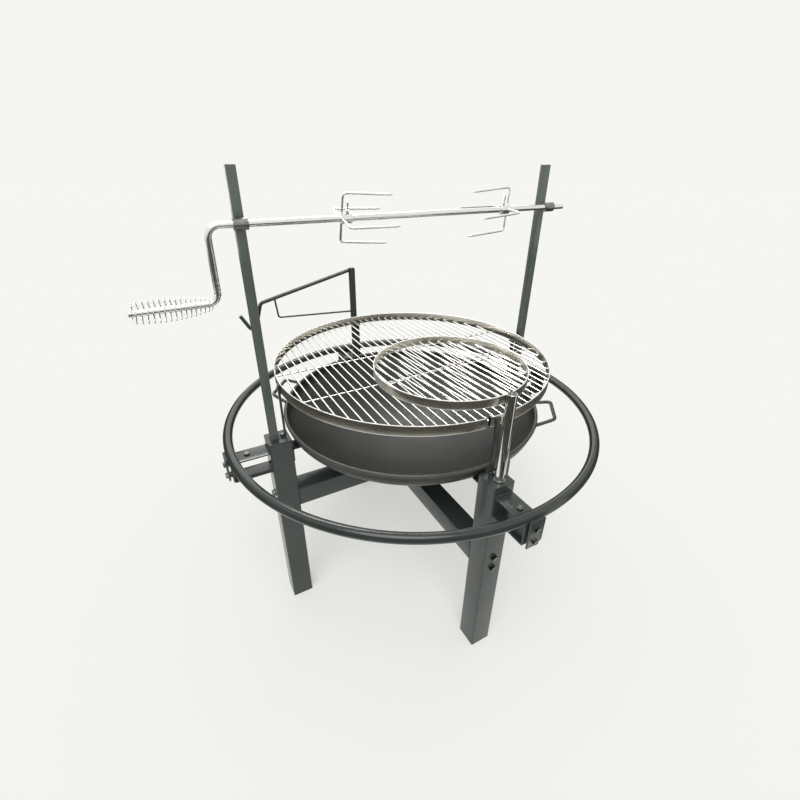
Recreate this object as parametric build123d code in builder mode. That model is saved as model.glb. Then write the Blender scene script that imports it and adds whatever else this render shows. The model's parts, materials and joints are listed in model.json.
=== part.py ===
from build123d import *
from math import atan2, cos, degrees, pi, radians, sin, sqrt
import os

# Fire pit rotisserie grill. Millimetres, +Z up, the floor at height zero.
# The pit's axis is the modelling axis: the left leg is on -X, the right leg on +X,
# the front leg on -Y and the rear leg on +Y.
os.makedirs("parts", exist_ok=True)

# Fits
running_fit = 0.05
bolt_fit = 0.3
seat_gap = 0.3
weld_gap = 0.1
overrun = 5

# Legs and cross beams, square steel tube
leg_width = 60
leg_wall = 3
leg_height = 588
leg_centre = 403
plate_thickness = 3
beam_width = 60
beam_wall = 3
beam_drop = 285
end_plate_thickness = 6
end_plate_gap = 0.2

leg_inner = leg_centre - leg_width / 2
leg_outer = leg_centre + leg_width / 2
lower_beam_bottom = leg_height - beam_drop
upper_beam_bottom = lower_beam_bottom + beam_width
upper_beam_top = upper_beam_bottom + beam_width
lower_beam_middle = lower_beam_bottom + beam_width / 2
upper_beam_middle = upper_beam_bottom + beam_width / 2

# Bolts that hold the beam ends to the legs
leg_bolt_radius = 5
leg_bolt_flats = 16
leg_bolt_head = 6.4
leg_bolt_pitch = 36
leg_bolt_tail = 3
leg_nut_height = 8
leg_washer_radius = 10
leg_washer_thickness = 2

# Ring arms: flat strap bent to a U that lies on its side
arm_drop = 27
arm_height = 60
arm_width = 50
arm_strap = 4
arm_bend = 5.5
arm_end = 532
arm_bolt_centre = 486

arm_top = leg_height - arm_drop
arm_bottom = arm_top - arm_height
arm_middle = arm_top - arm_height / 2

# Bolts on the arms and tabs
arm_bolt_radius = 4
arm_bolt_flats = 13
arm_bolt_head = 5.3
arm_bolt_tail = 2
arm_nut_height = 6.5

# Foot ring with its tabs
ring_tube_radius = 12.5
tab_spacing_gap = 5
tab_thickness = 5
tab_width = 41
tab_drop = 2
tab_corner = 12
tab_bolt_pitch = 35
spacer_radius = 8

tab_inner = arm_end + tab_spacing_gap
tab_outer = tab_inner + tab_thickness
ring_centre = tab_inner - seat_gap - ring_tube_radius
ring_height = arm_top + ring_tube_radius
tab_top = ring_height
tab_bottom = arm_bottom - tab_drop

# Fire bowl: a dished pressing with a knuckle and a beaded rim
bowl_radius = 368
bowl_wall = 3
bowl_depth = 180.7
bowl_flange = 8
bowl_knuckle = 45
bead_radius = 5

bowl_bottom = upper_beam_top + seat_gap
bowl_rim_height = bowl_bottom + bowl_depth
knuckle_height = bowl_rim_height - bowl_flange
knuckle_centre = bowl_radius - bowl_knuckle
knuckle_depth = knuckle_height - bowl_bottom
crown_radius = (knuckle_centre**2 + knuckle_depth**2 - bowl_knuckle**2) / (
    2 * (knuckle_depth - bowl_knuckle)
)
crown_height = bowl_bottom + crown_radius
crown_angle = degrees(atan2(knuckle_centre, crown_height - knuckle_height))
bead_centre = bowl_radius - bowl_wall / 2
bead_height = bowl_rim_height - bead_radius

# Angle brackets that carry the bowl's knuckle
rest_width = 40
rest_height = 40
rest_thickness = 4
rest_reach = 30

rest_tip = leg_inner - rest_reach
rest_top = crown_height - sqrt(crown_radius**2 - rest_tip**2) - seat_gap

# Bowl handles, bent from bar
handle_bar_radius = 4.5
handle_root_drop = 18
handle_root_half = 66
handle_outer_half = 50
handle_reach = 50
handle_inset = 14
handle_bend = 14
handle_tilt = 18
handle_angles = {"right": -38, "left": 142}

handle_root_height = bowl_rim_height - handle_root_drop

# Main cooking grill: a band with welded wires
grill_radius = 380
grill_rise = 130
grill_band_height = 27
grill_band_thickness = 2
grill_wire_radius = 2
grill_wire_pitch = 22.5
grill_wire_count = 32
grill_wire_rise = 7
grill_cross_offset = 86
grill_joint_width = 10
grill_joint_fold = 8

grill_band_bottom = leg_height + grill_rise
grill_inner = grill_radius - grill_band_thickness
grill_wire_height = grill_band_bottom + grill_wire_rise
grill_cross_height = grill_wire_height - 2 * grill_wire_radius - weld_gap
grill_joint_centre = -grill_wire_pitch

# Supports that hold the grill's band above the legs
support_width = 14
support_thickness = 4
support_foot = 12
support_lip = 6
support_rise = 22
support_bolt_radius = 3
support_bolt_flats = 10
support_bolt_head = 4
support_bolt_tail = 6
screw_radius = 2.5
screw_head_radius = 4.5
screw_head = 3
screw_rise = 13
screw_nut_flats = 8
screw_nut_height = 4

support_inner = grill_radius + seat_gap
support_outer = support_inner + support_thickness
support_top = grill_band_bottom + support_rise
support_bolt_centre = support_outer + support_foot / 2
screw_height = grill_band_bottom + screw_rise

# Spit posts and the bushes in front of them
post_width = 20
post_wall = 2
post_centre = 412
post_rise = 104
bush_radius = 12
bush_length = 29
bush_left_centre = -413
bush_right_centre = 423

# Spit with its crank
spit_radius = 7
spit_rise = 528
spit_tip = 478
crank_elbow = -478
crank_arm = 160
crank_lean = 9.3
crank_bend = 24
grip_end = -650

spit_front = -(post_width / 2 + bush_radius)
spit_height = leg_height + spit_rise
post_top = spit_height + post_rise
grip_front = spit_front + crank_arm * sin(radians(crank_lean))
grip_height = spit_height - crank_arm * cos(radians(crank_lean))

# Coil grip wound round the crank's handle
coil_wire_radius = 1.1
coil_turns = 15
coil_start = -496
coil_length = 146
coil_root_radius = 12.8
coil_widest_radius = 24
coil_outer_radius = 20
coil_widest_share = 0.65
coil_even_share = 0.9
coil_lead_radius = 14
coil_lead_turn = 22
coil_samples = 12

# Spit forks
collar_radius = 11.5
collar_length = 27
collar_back = 4
prong_bar_radius = 2.75
prong_radius = 53.5
prong_length = 120
prong_bend = 8
prong_point = 14
prong_tip_radius = 0.6
prong_sink = 1
fork_left_bars = -198
fork_right_bars = 272
fork_left_roll = -16
fork_right_roll = -4

# Thumbscrews that lock the forks
thumb_shank_radius = 3
thumb_offset = 13
thumb_neck_radius = 5
thumb_neck = 6
thumb_wing_half = 8
thumb_wing_height = 20
thumb_wing_thickness = 3.5
thumb_wing_corner = 5
thumb_tip_gap = 0.1

# Swinging side grill on its chrome sleeve
pivot_centre = 412
pivot_washer_radius = 14
pivot_washer_thickness = 3
sleeve_radius = 11.5
sleeve_bore = 9
sleeve_rise = 5
pin_top_gap = 8
side_grill_radius = 182
side_grill_lift = 42
side_band_height = 22
side_band_thickness = 2
side_wire_radius = 2
side_wire_pitch = 23
side_wire_count = 15
side_wire_rise = 5.5
side_cross_offset = 24
side_turn = 96.5

sleeve_bottom = leg_height + pivot_washer_thickness
side_band_bottom = grill_band_bottom + grill_band_height + side_grill_lift
sleeve_top = side_band_bottom + side_band_height + sleeve_rise
side_inner = side_grill_radius - side_band_thickness
side_reach = sleeve_radius + weld_gap + side_grill_radius
side_wire_height = side_band_bottom + side_wire_rise
side_cross_height = side_wire_height - 2 * side_wire_radius - weld_gap

# Pot crane with a swivelling post
crane_post_radius = 11
crane_bore = 9
crane_rise = 319
crane_cap_radius = 9.5
crane_cap_thickness = 3
crane_bar_radius = 6
crane_arm_drop = 5
crane_bend_reach = 312
crane_bend_fall = 93
crane_hook_reach = 344
crane_hook_fall = 106
crane_end_reach = 382
crane_end_climb = 69
crane_bend = 18
crane_hook_bend = 13
crane_brace_radius = 3
crane_brace_drop = 151
crane_brace_reach = 259
crane_brace_top_reach = 265
crane_brace_bend = 8
crane_turn = 169

crane_top = leg_height + crane_rise
crane_arm_height = crane_top - crane_arm_drop
crane_bend_height = crane_arm_height - crane_bend_fall
crane_hook_height = crane_bend_height - crane_hook_fall
crane_end_height = crane_hook_height + crane_end_climb
crane_brace_height = crane_top - crane_brace_drop

# The finished part's origin lies on the floor under the middle of its outline
tab_bolt_reach = tab_outer + arm_bolt_head
origin_shift = (-grip_end - tab_bolt_reach) / 2

side_angles = {"left": 180, "right": 0, "front": -90, "rear": 90}
beam_middles = {
    "left": upper_beam_middle,
    "right": upper_beam_middle,
    "front": lower_beam_middle,
    "rear": lower_beam_middle,
}


def outward(angle):
    """Level unit vector from the pit's axis at an angle from +X."""
    return Vector(cos(radians(angle)), sin(radians(angle)), 0)


def level_plane(angle, height):
    """Level plane whose x axis points outward at an angle."""
    return Plane(origin=(0, 0, height), x_dir=outward(angle), z_dir=(0, 0, 1))


def wall_plane(angle, radius, height):
    """Upright plane that faces outward, with its y axis up."""
    centre = outward(angle) * radius + Vector(0, 0, height)
    return Plane(origin=centre, x_dir=outward(angle + 90), z_dir=outward(angle))


def radial_plane(angle):
    """Upright plane through the pit's axis, with x outward and y up."""
    return Plane(origin=(0, 0, 0), x_dir=outward(angle), z_dir=outward(angle - 90))


def save(piece):
    """Write one finished piece, moved to the part's own origin."""
    placed = Pos(origin_shift, 0, 0) * piece
    placed.label = piece.label
    export_step(placed, f"parts/{piece.label}.step")


def hex_bolt(shank_radius, length, flats, head_height):
    """A bolt whose head stands on the XY plane, with its shank below."""
    with BuildPart() as made:
        with BuildSketch():
            RegularPolygon(flats / 2, 6, major_radius=False)
        extrude(amount=head_height)
        with BuildSketch():
            Circle(shank_radius)
        extrude(amount=-length)
    return made.part


def hex_nut(flats, height, bore_radius):
    """A nut that stands on the XY plane."""
    with BuildPart() as made:
        with BuildSketch():
            RegularPolygon(flats / 2, 6, major_radius=False)
            Circle(bore_radius, mode=Mode.SUBTRACT)
        extrude(amount=height)
    return made.part


def round_tube(radius, bore_radius, length):
    """A washer, spacer or bush that stands on the XY plane."""
    with BuildPart() as made:
        with BuildSketch():
            Circle(radius)
            Circle(bore_radius, mode=Mode.SUBTRACT)
        extrude(amount=length)
    return made.part


# Legs
for side, angle in side_angles.items():
    bolt_rows = [(0, -leg_bolt_pitch / 2), (0, leg_bolt_pitch / 2)]
    with BuildPart() as leg:
        with BuildSketch(level_plane(angle, plate_thickness)):
            with Locations((leg_centre, 0)):
                Rectangle(leg_width, leg_width)
                Rectangle(leg_width - 2 * leg_wall, leg_width - 2 * leg_wall, mode=Mode.SUBTRACT)
        extrude(amount=leg_height - 2 * plate_thickness)
        with BuildSketch(wall_plane(angle, leg_outer + overrun, beam_middles[side])):
            with Locations(*bolt_rows):
                Circle(leg_bolt_radius + bolt_fit)
        extrude(amount=-(leg_width + 2 * overrun), mode=Mode.SUBTRACT)
    leg.part.label = f"leg_{side}"
    save(leg.part)

# Foot plates that close the legs below
with BuildPart() as foot_plates:
    for angle in side_angles.values():
        with BuildSketch(level_plane(angle, 0)):
            with Locations((leg_centre, 0)):
                Rectangle(leg_width, leg_width)
        extrude(amount=plate_thickness)
foot_plates.part.label = "foot_plates"
save(foot_plates.part)

# Caps that close the legs above
with BuildPart() as leg_caps:
    for angle in side_angles.values():
        with BuildSketch(level_plane(angle, leg_height - plate_thickness)):
            with Locations((leg_centre, 0)):
                Rectangle(leg_width, leg_width)
            with Locations((support_bolt_centre, 0)):
                Circle(support_bolt_radius + running_fit, mode=Mode.SUBTRACT)
        extrude(amount=plate_thickness)
leg_caps.part.label = "leg_caps"
save(leg_caps.part)

# Cross beams, the upper one from left to right and the lower one from front to rear
for name, angle, height in (
    ("beam_upper", side_angles["right"], upper_beam_middle),
    ("beam_lower", side_angles["rear"], lower_beam_middle),
):
    with BuildPart() as beam:
        with BuildSketch(wall_plane(angle, -leg_inner, height)):
            Rectangle(beam_width, beam_width)
            Rectangle(beam_width - 2 * beam_wall, beam_width - 2 * beam_wall, mode=Mode.SUBTRACT)
        extrude(amount=2 * leg_inner)
    beam.part.label = name
    save(beam.part)

# Plates welded inside the beam ends
end_plate_width = beam_width - 2 * beam_wall - 2 * end_plate_gap
with BuildPart() as beam_end_plates:
    for side, angle in side_angles.items():
        with BuildSketch(wall_plane(angle, leg_inner, beam_middles[side])):
            Rectangle(end_plate_width, end_plate_width)
            with Locations((0, -leg_bolt_pitch / 2), (0, leg_bolt_pitch / 2)):
                Circle(leg_bolt_radius + bolt_fit, mode=Mode.SUBTRACT)
        extrude(amount=-end_plate_thickness)
beam_end_plates.part.label = "beam_end_plates"
save(beam_end_plates.part)

# Bolts, washers and nuts that hold the beams between the legs
leg_bolt_length = (
    leg_washer_thickness + leg_width + end_plate_thickness + leg_nut_height + leg_bolt_tail
)
leg_bolt = hex_bolt(leg_bolt_radius, leg_bolt_length, leg_bolt_flats, leg_bolt_head)
leg_washer = round_tube(leg_washer_radius, leg_bolt_radius + bolt_fit, leg_washer_thickness)
leg_nut = hex_nut(leg_bolt_flats, leg_nut_height, leg_bolt_radius + running_fit)
nut_face = leg_inner - end_plate_thickness - leg_nut_height
with BuildPart() as leg_bolts:
    for side, angle in side_angles.items():
        for step in (-1, 1):
            height = beam_middles[side] + step * leg_bolt_pitch / 2
            with Locations(wall_plane(angle, leg_outer + leg_washer_thickness, height)):
                add(leg_bolt)
leg_bolts.part.label = "leg_bolts"
save(leg_bolts.part)
with BuildPart() as leg_washers:
    for side, angle in side_angles.items():
        for step in (-1, 1):
            height = beam_middles[side] + step * leg_bolt_pitch / 2
            with Locations(wall_plane(angle, leg_outer, height)):
                add(leg_washer)
leg_washers.part.label = "leg_washers"
save(leg_washers.part)
with BuildPart() as leg_nuts:
    for side, angle in side_angles.items():
        for step in (-1, 1):
            height = beam_middles[side] + step * leg_bolt_pitch / 2
            with Locations(wall_plane(angle, nut_face, height)):
                add(leg_nut)
leg_nuts.part.label = "leg_nuts"
save(leg_nuts.part)

# Ring arms
tab_bolt_rows = [(0, -tab_bolt_pitch / 2), (0, tab_bolt_pitch / 2)]
arm_length = arm_end - leg_outer
for side, angle in side_angles.items():
    with BuildPart() as arm:
        with BuildSketch(radial_plane(angle)):
            with Locations((leg_outer + arm_length / 2, arm_middle)):
                Rectangle(arm_length, arm_height)
            fillet(vertices().group_by(Axis.X)[-1], arm_bend)
        extrude(amount=arm_width / 2, both=True)
        with BuildSketch(radial_plane(angle)):
            with Locations((leg_outer + (arm_length - arm_strap) / 2, arm_middle)):
                Rectangle(arm_length - arm_strap, arm_height - 2 * arm_strap)
            fillet(vertices().group_by(Axis.X)[-1], arm_bend - arm_strap)
        extrude(amount=arm_width / 2, both=True, mode=Mode.SUBTRACT)
        with BuildSketch(wall_plane(angle, arm_end, arm_middle)):
            with Locations(*tab_bolt_rows):
                Circle(arm_bolt_radius + bolt_fit)
        extrude(amount=-arm_strap, mode=Mode.SUBTRACT)
        with BuildSketch(level_plane(angle, arm_top)):
            with Locations((arm_bolt_centre, 0)):
                Circle(arm_bolt_radius + bolt_fit)
        extrude(amount=-arm_strap, mode=Mode.SUBTRACT)
    arm.part.label = f"ring_arm_{side}"
    save(arm.part)

# A bolt through each arm's upper plate
arm_bolt_length = arm_strap + arm_nut_height + arm_bolt_tail
arm_bolt = hex_bolt(arm_bolt_radius, arm_bolt_length, arm_bolt_flats, arm_bolt_head)
arm_nut = hex_nut(arm_bolt_flats, arm_nut_height, arm_bolt_radius + running_fit)
with BuildPart() as arm_bolts:
    for angle in side_angles.values():
        with Locations(outward(angle) * arm_bolt_centre + Vector(0, 0, arm_top)):
            add(arm_bolt)
arm_bolts.part.label = "arm_bolts"
save(arm_bolts.part)
with BuildPart() as arm_nuts:
    for angle in side_angles.values():
        nut_base = arm_top - arm_strap - arm_nut_height
        with Locations(outward(angle) * arm_bolt_centre + Vector(0, 0, nut_base)):
            add(arm_nut)
arm_nuts.part.label = "arm_nuts"
save(arm_nuts.part)

# Foot ring, lying on the arms
with BuildPart() as foot_ring:
    with BuildSketch(Plane.XZ):
        with Locations((ring_centre, ring_height)):
            Circle(ring_tube_radius)
    revolve(axis=Axis.Z)
foot_ring.part.label = "foot_ring"
save(foot_ring.part)

# Tabs on the outside of the ring, bolted to the arm ends
with BuildPart() as ring_tabs:
    for angle in side_angles.values():
        with BuildSketch(wall_plane(angle, tab_inner, tab_top)):
            with BuildLine():
                Polyline(
                    (-tab_width / 2, 0),
                    (tab_width / 2, 0),
                    (tab_width / 2, tab_bottom - tab_top + tab_corner),
                    (tab_width / 2 - tab_corner, tab_bottom - tab_top),
                    (-tab_width / 2, tab_bottom - tab_top),
                    close=True,
                )
            make_face()
            with Locations((0, arm_middle - tab_top)):
                with Locations(*tab_bolt_rows):
                    Circle(arm_bolt_radius + bolt_fit, mode=Mode.SUBTRACT)
        extrude(amount=tab_thickness)
ring_tabs.part.label = "ring_tabs"
save(ring_tabs.part)

# Spacers, bolts and nuts of the tabs
tab_bolt_length = (
    tab_thickness + tab_spacing_gap + arm_strap + arm_nut_height + arm_bolt_tail
)
tab_bolt = hex_bolt(arm_bolt_radius, tab_bolt_length, arm_bolt_flats, arm_bolt_head)
spacer = round_tube(spacer_radius, arm_bolt_radius + bolt_fit, tab_spacing_gap)
with BuildPart() as tab_spacers:
    for angle in side_angles.values():
        for step in (-1, 1):
            height = arm_middle + step * tab_bolt_pitch / 2
            with Locations(wall_plane(angle, arm_end, height)):
                add(spacer)
tab_spacers.part.label = "tab_spacers"
save(tab_spacers.part)
with BuildPart() as tab_bolts:
    for angle in side_angles.values():
        for step in (-1, 1):
            height = arm_middle + step * tab_bolt_pitch / 2
            with Locations(wall_plane(angle, tab_outer, height)):
                add(tab_bolt)
tab_bolts.part.label = "tab_bolts"
save(tab_bolts.part)
with BuildPart() as tab_nuts:
    for angle in side_angles.values():
        for step in (-1, 1):
            height = arm_middle + step * tab_bolt_pitch / 2
            with Locations(wall_plane(angle, arm_end - arm_strap - arm_nut_height, height)):
                add(arm_nut)
tab_nuts.part.label = "tab_nuts"
save(tab_nuts.part)

# Angle brackets under the bowl's knuckle
with BuildPart() as bowl_rests:
    for angle in side_angles.values():
        with BuildSketch(radial_plane(angle)):
            with BuildLine():
                Polyline(
                    (leg_inner, rest_top),
                    (rest_tip, rest_top),
                    (rest_tip, rest_top - rest_thickness),
                    (leg_inner - rest_thickness, rest_top - rest_thickness),
                    (leg_inner - rest_thickness, rest_top - rest_height),
                    (leg_inner, rest_top - rest_height),
                    close=True,
                )
            make_face()
        extrude(amount=rest_width / 2, both=True)
bowl_rests.part.label = "bowl_rests"
save(bowl_rests.part)


def dish_point(centre, radius, angle):
    """Point on an arc of the bowl's profile, its angle measured from straight down."""
    turn = radians(angle)
    return (centre[0] + radius * sin(turn), centre[1] - radius * cos(turn))


# Fire bowl
crown_point = (0, crown_height)
knuckle_point = (knuckle_centre, knuckle_height)
knuckle_middle = (crown_angle + 90) / 2
with BuildPart() as fire_bowl:
    with BuildSketch(Plane.XZ):
        with BuildLine():
            for skin in (0, bowl_wall):
                ThreePointArc(
                    dish_point(crown_point, crown_radius - skin, 0),
                    dish_point(crown_point, crown_radius - skin, crown_angle / 2),
                    dish_point(crown_point, crown_radius - skin, crown_angle),
                )
                ThreePointArc(
                    dish_point(knuckle_point, bowl_knuckle - skin, crown_angle),
                    dish_point(knuckle_point, bowl_knuckle - skin, knuckle_middle),
                    dish_point(knuckle_point, bowl_knuckle - skin, 90),
                )
                Line(
                    (bowl_radius - skin, knuckle_height),
                    (bowl_radius - skin, bowl_rim_height),
                )
            Line((0, bowl_bottom), (0, bowl_bottom + bowl_wall))
            Line((bowl_radius, bowl_rim_height), (bowl_radius - bowl_wall, bowl_rim_height))
        make_face()
        with Locations((bead_centre, bead_height)):
            Circle(bead_radius)
    revolve(axis=Axis.Z)
fire_bowl.part.label = "fire_bowl"
save(fire_bowl.part)

# Bowl handles, welded under the rim
for side, angle in handle_angles.items():
    root = outward(angle) * bowl_radius + Vector(0, 0, handle_root_height)
    along = outward(angle) * cos(radians(handle_tilt)) + Vector(0, 0, sin(radians(handle_tilt)))
    across = outward(angle + 90)
    with BuildPart() as handle:
        with BuildLine(Plane(origin=root, x_dir=along, z_dir=along.cross(across))) as handle_line:
            FilletPolyline(
                (-handle_inset, -handle_root_half),
                (handle_reach, -handle_outer_half),
                (handle_reach, handle_outer_half),
                (-handle_inset, handle_root_half),
                radius=handle_bend,
            )
        handle_path = handle_line.wires()[0]
        with BuildSketch(Plane(origin=handle_path @ 0, z_dir=handle_path % 0)):
            Circle(handle_bar_radius)
        sweep()
        with BuildSketch(Plane.XY.offset(bowl_bottom)):
            Circle(bowl_radius)
        extrude(amount=bowl_depth, mode=Mode.SUBTRACT)
    handle.part.label = f"bowl_handle_{side}"
    save(handle.part)

# Supports of the cooking grill, one on each leg
for side, angle in side_angles.items():
    with BuildPart() as support:
        with BuildSketch(radial_plane(angle)):
            with BuildLine():
                Polyline(
                    (support_inner, leg_height),
                    (support_outer + support_foot, leg_height),
                    (support_outer + support_foot, leg_height + support_thickness),
                    (support_outer, leg_height + support_thickness),
                    (support_outer, support_top),
                    (support_inner, support_top),
                    (support_inner, grill_band_bottom),
                    (grill_inner - support_lip, grill_band_bottom),
                    (grill_inner - support_lip, grill_band_bottom - support_thickness),
                    (support_inner, grill_band_bottom - support_thickness),
                    close=True,
                )
            make_face()
        extrude(amount=support_width / 2, both=True)
        with BuildSketch(wall_plane(angle, support_outer, screw_height)):
            Circle(screw_radius + bolt_fit)
        extrude(amount=-support_thickness, mode=Mode.SUBTRACT)
        with BuildSketch(level_plane(angle, leg_height)):
            with Locations((support_bolt_centre, 0)):
                Circle(support_bolt_radius + bolt_fit)
        extrude(amount=support_thickness, mode=Mode.SUBTRACT)
    support.part.label = f"grill_support_{side}"
    save(support.part)

# Bolts that hold the supports to the leg caps
support_bolt_length = support_thickness + plate_thickness + support_bolt_tail
support_bolt = hex_bolt(
    support_bolt_radius, support_bolt_length, support_bolt_flats, support_bolt_head
)
with BuildPart() as support_bolts:
    for angle in side_angles.values():
        seat = Vector(0, 0, leg_height + support_thickness)
        with Locations(outward(angle) * support_bolt_centre + seat):
            add(support_bolt)
support_bolts.part.label = "support_bolts"
save(support_bolts.part)

# Band of the cooking grill, with its joint's ends folded inward
with BuildPart() as grill_band:
    with BuildSketch(Plane.XY.offset(grill_band_bottom)):
        Circle(grill_radius)
        Circle(grill_inner, mode=Mode.SUBTRACT)
        with Locations((grill_joint_centre, -grill_inner)):
            Rectangle(grill_joint_width, grill_joint_fold, mode=Mode.SUBTRACT)
        for step in (-1, 1):
            fold_x = grill_joint_centre + step * (grill_joint_width + grill_band_thickness) / 2
            fold_y = -sqrt(grill_radius**2 - (abs(fold_x) + grill_band_thickness) ** 2)
            with Locations((fold_x, fold_y + grill_joint_fold / 2)):
                Rectangle(grill_band_thickness, grill_joint_fold)
    extrude(amount=grill_band_height)
    for angle in side_angles.values():
        with BuildSketch(wall_plane(angle, grill_radius + overrun, screw_height)):
            Circle(screw_radius + bolt_fit)
        extrude(amount=-2 * overrun, mode=Mode.SUBTRACT)
grill_band.part.label = "grill_band"
save(grill_band.part)

# Wires of the cooking grill, trimmed to the inside of the band
grill_first = -grill_wire_pitch * (grill_wire_count - 1) / 2
with BuildPart() as grill_wires:
    for i in range(grill_wire_count):
        with BuildSketch(Plane.XZ):
            with Locations((grill_first + i * grill_wire_pitch, grill_wire_height)):
                Circle(grill_wire_radius)
        extrude(amount=grill_radius, both=True)
    with BuildSketch(Plane.XY.offset(grill_band_bottom)):
        Circle(grill_inner)
    extrude(amount=grill_band_height, mode=Mode.INTERSECT)
grill_wires.part.label = "grill_wires"
save(grill_wires.part)

# Cross wires welded under them
with BuildPart() as grill_cross_wires:
    with BuildSketch(Plane.YZ):
        with Locations(
            (-grill_cross_offset, grill_cross_height), (grill_cross_offset, grill_cross_height)
        ):
            Circle(grill_wire_radius)
    extrude(amount=grill_radius, both=True)
    with BuildSketch(Plane.XY.offset(grill_band_bottom - overrun)):
        Circle(grill_inner)
    extrude(amount=grill_band_height, mode=Mode.INTERSECT)
grill_cross_wires.part.label = "grill_cross_wires"
save(grill_cross_wires.part)

# Screws and nuts that hold the band to its supports
screw_length = support_thickness + seat_gap + grill_band_thickness + screw_nut_height
with BuildPart() as screw:
    with BuildSketch():
        Circle(screw_head_radius)
    extrude(amount=screw_head)
    fillet(screw.faces().sort_by(Axis.Z)[-1].edges(), screw_head / 2)
    with BuildSketch():
        Circle(screw_radius)
    extrude(amount=-screw_length)
screw_nut = hex_nut(screw_nut_flats, screw_nut_height, screw_radius + running_fit)
with BuildPart() as grill_screws:
    for angle in side_angles.values():
        with Locations(wall_plane(angle, support_outer, screw_height)):
            add(screw.part)
grill_screws.part.label = "grill_screws"
save(grill_screws.part)
with BuildPart() as grill_nuts:
    for angle in side_angles.values():
        with Locations(wall_plane(angle, grill_inner - seat_gap - screw_nut_height, screw_height)):
            add(screw_nut)
grill_nuts.part.label = "grill_nuts"
save(grill_nuts.part)

# Spit posts, square tube closed at the top
for name, step in (("post_left", -1), ("post_right", 1)):
    with BuildPart() as post:
        with BuildSketch(Plane.XY.offset(leg_height)):
            with Locations((step * post_centre, 0)):
                Rectangle(post_width, post_width)
        extrude(amount=post_top - leg_height)
        with BuildSketch(Plane.XY.offset(leg_height)):
            with Locations((step * post_centre, 0)):
                Rectangle(post_width - 2 * post_wall, post_width - 2 * post_wall)
        extrude(amount=post_top - leg_height - post_wall, mode=Mode.SUBTRACT)
    post.part.label = name
    save(post.part)

# Bushes welded to the front of the posts, in which the spit turns
bush = round_tube(bush_radius, spit_radius + running_fit, bush_length)
with BuildPart() as spit_bushes:
    for centre in (bush_left_centre, bush_right_centre):
        bush_end = (centre - bush_length / 2, spit_front, spit_height)
        with Locations(Plane(origin=bush_end, z_dir=(1, 0, 0))):
            add(bush)
spit_bushes.part.label = "spit_bushes"
save(spit_bushes.part)

# Spit with its crank and grip rod, bent from one bar
with BuildPart() as spit_rod:
    with BuildLine():
        FilletPolyline(
            (spit_tip, spit_front, spit_height),
            (crank_elbow, spit_front, spit_height),
            (crank_elbow, grip_front, grip_height),
            (grip_end, grip_front, grip_height),
            radius=crank_bend,
        )
    with BuildSketch(Plane(origin=(spit_tip, spit_front, spit_height), z_dir=(-1, 0, 0))):
        Circle(spit_radius)
    sweep()
spit_rod.part.label = "spit_rod"
save(spit_rod.part)


def coil_radius(share):
    """Radius of the coil grip's turns at a share of its length."""
    if share < coil_widest_share:
        fall = (coil_widest_share - share) / coil_widest_share
        return coil_widest_radius - (coil_widest_radius - coil_root_radius) * fall**2
    fall = (share - coil_widest_share) / (1 - coil_widest_share)
    return coil_widest_radius - (coil_widest_radius - coil_outer_radius) * fall**2


def coil_place(turn):
    """Point of the coil's centre line after a number of turns."""
    share = turn / coil_turns
    along = coil_even_share * share + (1 - coil_even_share) * share**2
    radius = coil_radius(share)
    return Vector(
        coil_start - coil_length * along,
        grip_front + radius * cos(2 * pi * turn),
        grip_height + radius * sin(2 * pi * turn),
    )


def coil_direction(turn):
    """Unit tangent of the coil's centre line."""
    step = 1 / (4 * coil_turns * coil_samples)
    before = coil_place(max(turn - step, 0))
    after = coil_place(min(turn + step, coil_turns))
    return (after - before).normalized()


def grip_point(x, radius, angle):
    """Point round the grip rod's axis."""
    turn = radians(angle)
    return Vector(x, grip_front + radius * cos(turn), grip_height + radius * sin(turn))


def grip_spoke(angle):
    """Unit vector out from the grip rod's axis."""
    return Vector(0, cos(radians(angle)), sin(radians(angle)))


def biarc_middle(start, start_way, end, end_way):
    """Joint of the two arcs that join two points with given tangents, and its tangent."""
    chord = end - start
    ways = start_way + end_way
    spread = 2 * (1 - start_way.dot(end_way))
    reach = (-chord.dot(ways) + sqrt(chord.dot(ways) ** 2 + spread * chord.dot(chord))) / spread
    first = start + start_way * reach
    second = end - end_way * reach
    return (first + second) * 0.5, (second - first).normalized()


# Coil grip: one wire whose ends stand square on the grip rod
wire_seat = spit_radius + seat_gap
lead_foot = wire_seat + 2 * coil_wire_radius
coil_end = coil_start - coil_length
coil_stops = [(grip_point(coil_start, lead_foot, -coil_lead_turn), grip_spoke(-coil_lead_turn))]
for i in range(4 * coil_turns + 1):
    coil_stops.append((coil_place(i / 4), coil_direction(i / 4)))
coil_stops.append(
    (grip_point(coil_end, coil_lead_radius, coil_lead_turn), -grip_spoke(coil_lead_turn))
)
coil_tightest = []
with BuildPart() as coil_grip:
    with BuildLine() as coil_line:
        Line(grip_point(coil_start, wire_seat, -coil_lead_turn), coil_stops[0][0])
        for (start, start_way), (end, end_way) in zip(coil_stops, coil_stops[1:]):
            middle, middle_way = biarc_middle(start, start_way, end, end_way)
            for arc in (
                TangentArc(start, middle, tangent=start_way),
                TangentArc(middle, end, tangent=middle_way),
            ):
                coil_tightest.append(arc.radius)
        Line(coil_stops[-1][0], grip_point(coil_end, wire_seat, coil_lead_turn))
    with BuildSketch(
        Plane(
            origin=grip_point(coil_start, wire_seat, -coil_lead_turn),
            z_dir=grip_spoke(-coil_lead_turn),
        )
    ):
        Circle(coil_wire_radius)
    sweep()
coil_grip.part.label = "coil_grip"
save(coil_grip.part)

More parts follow.
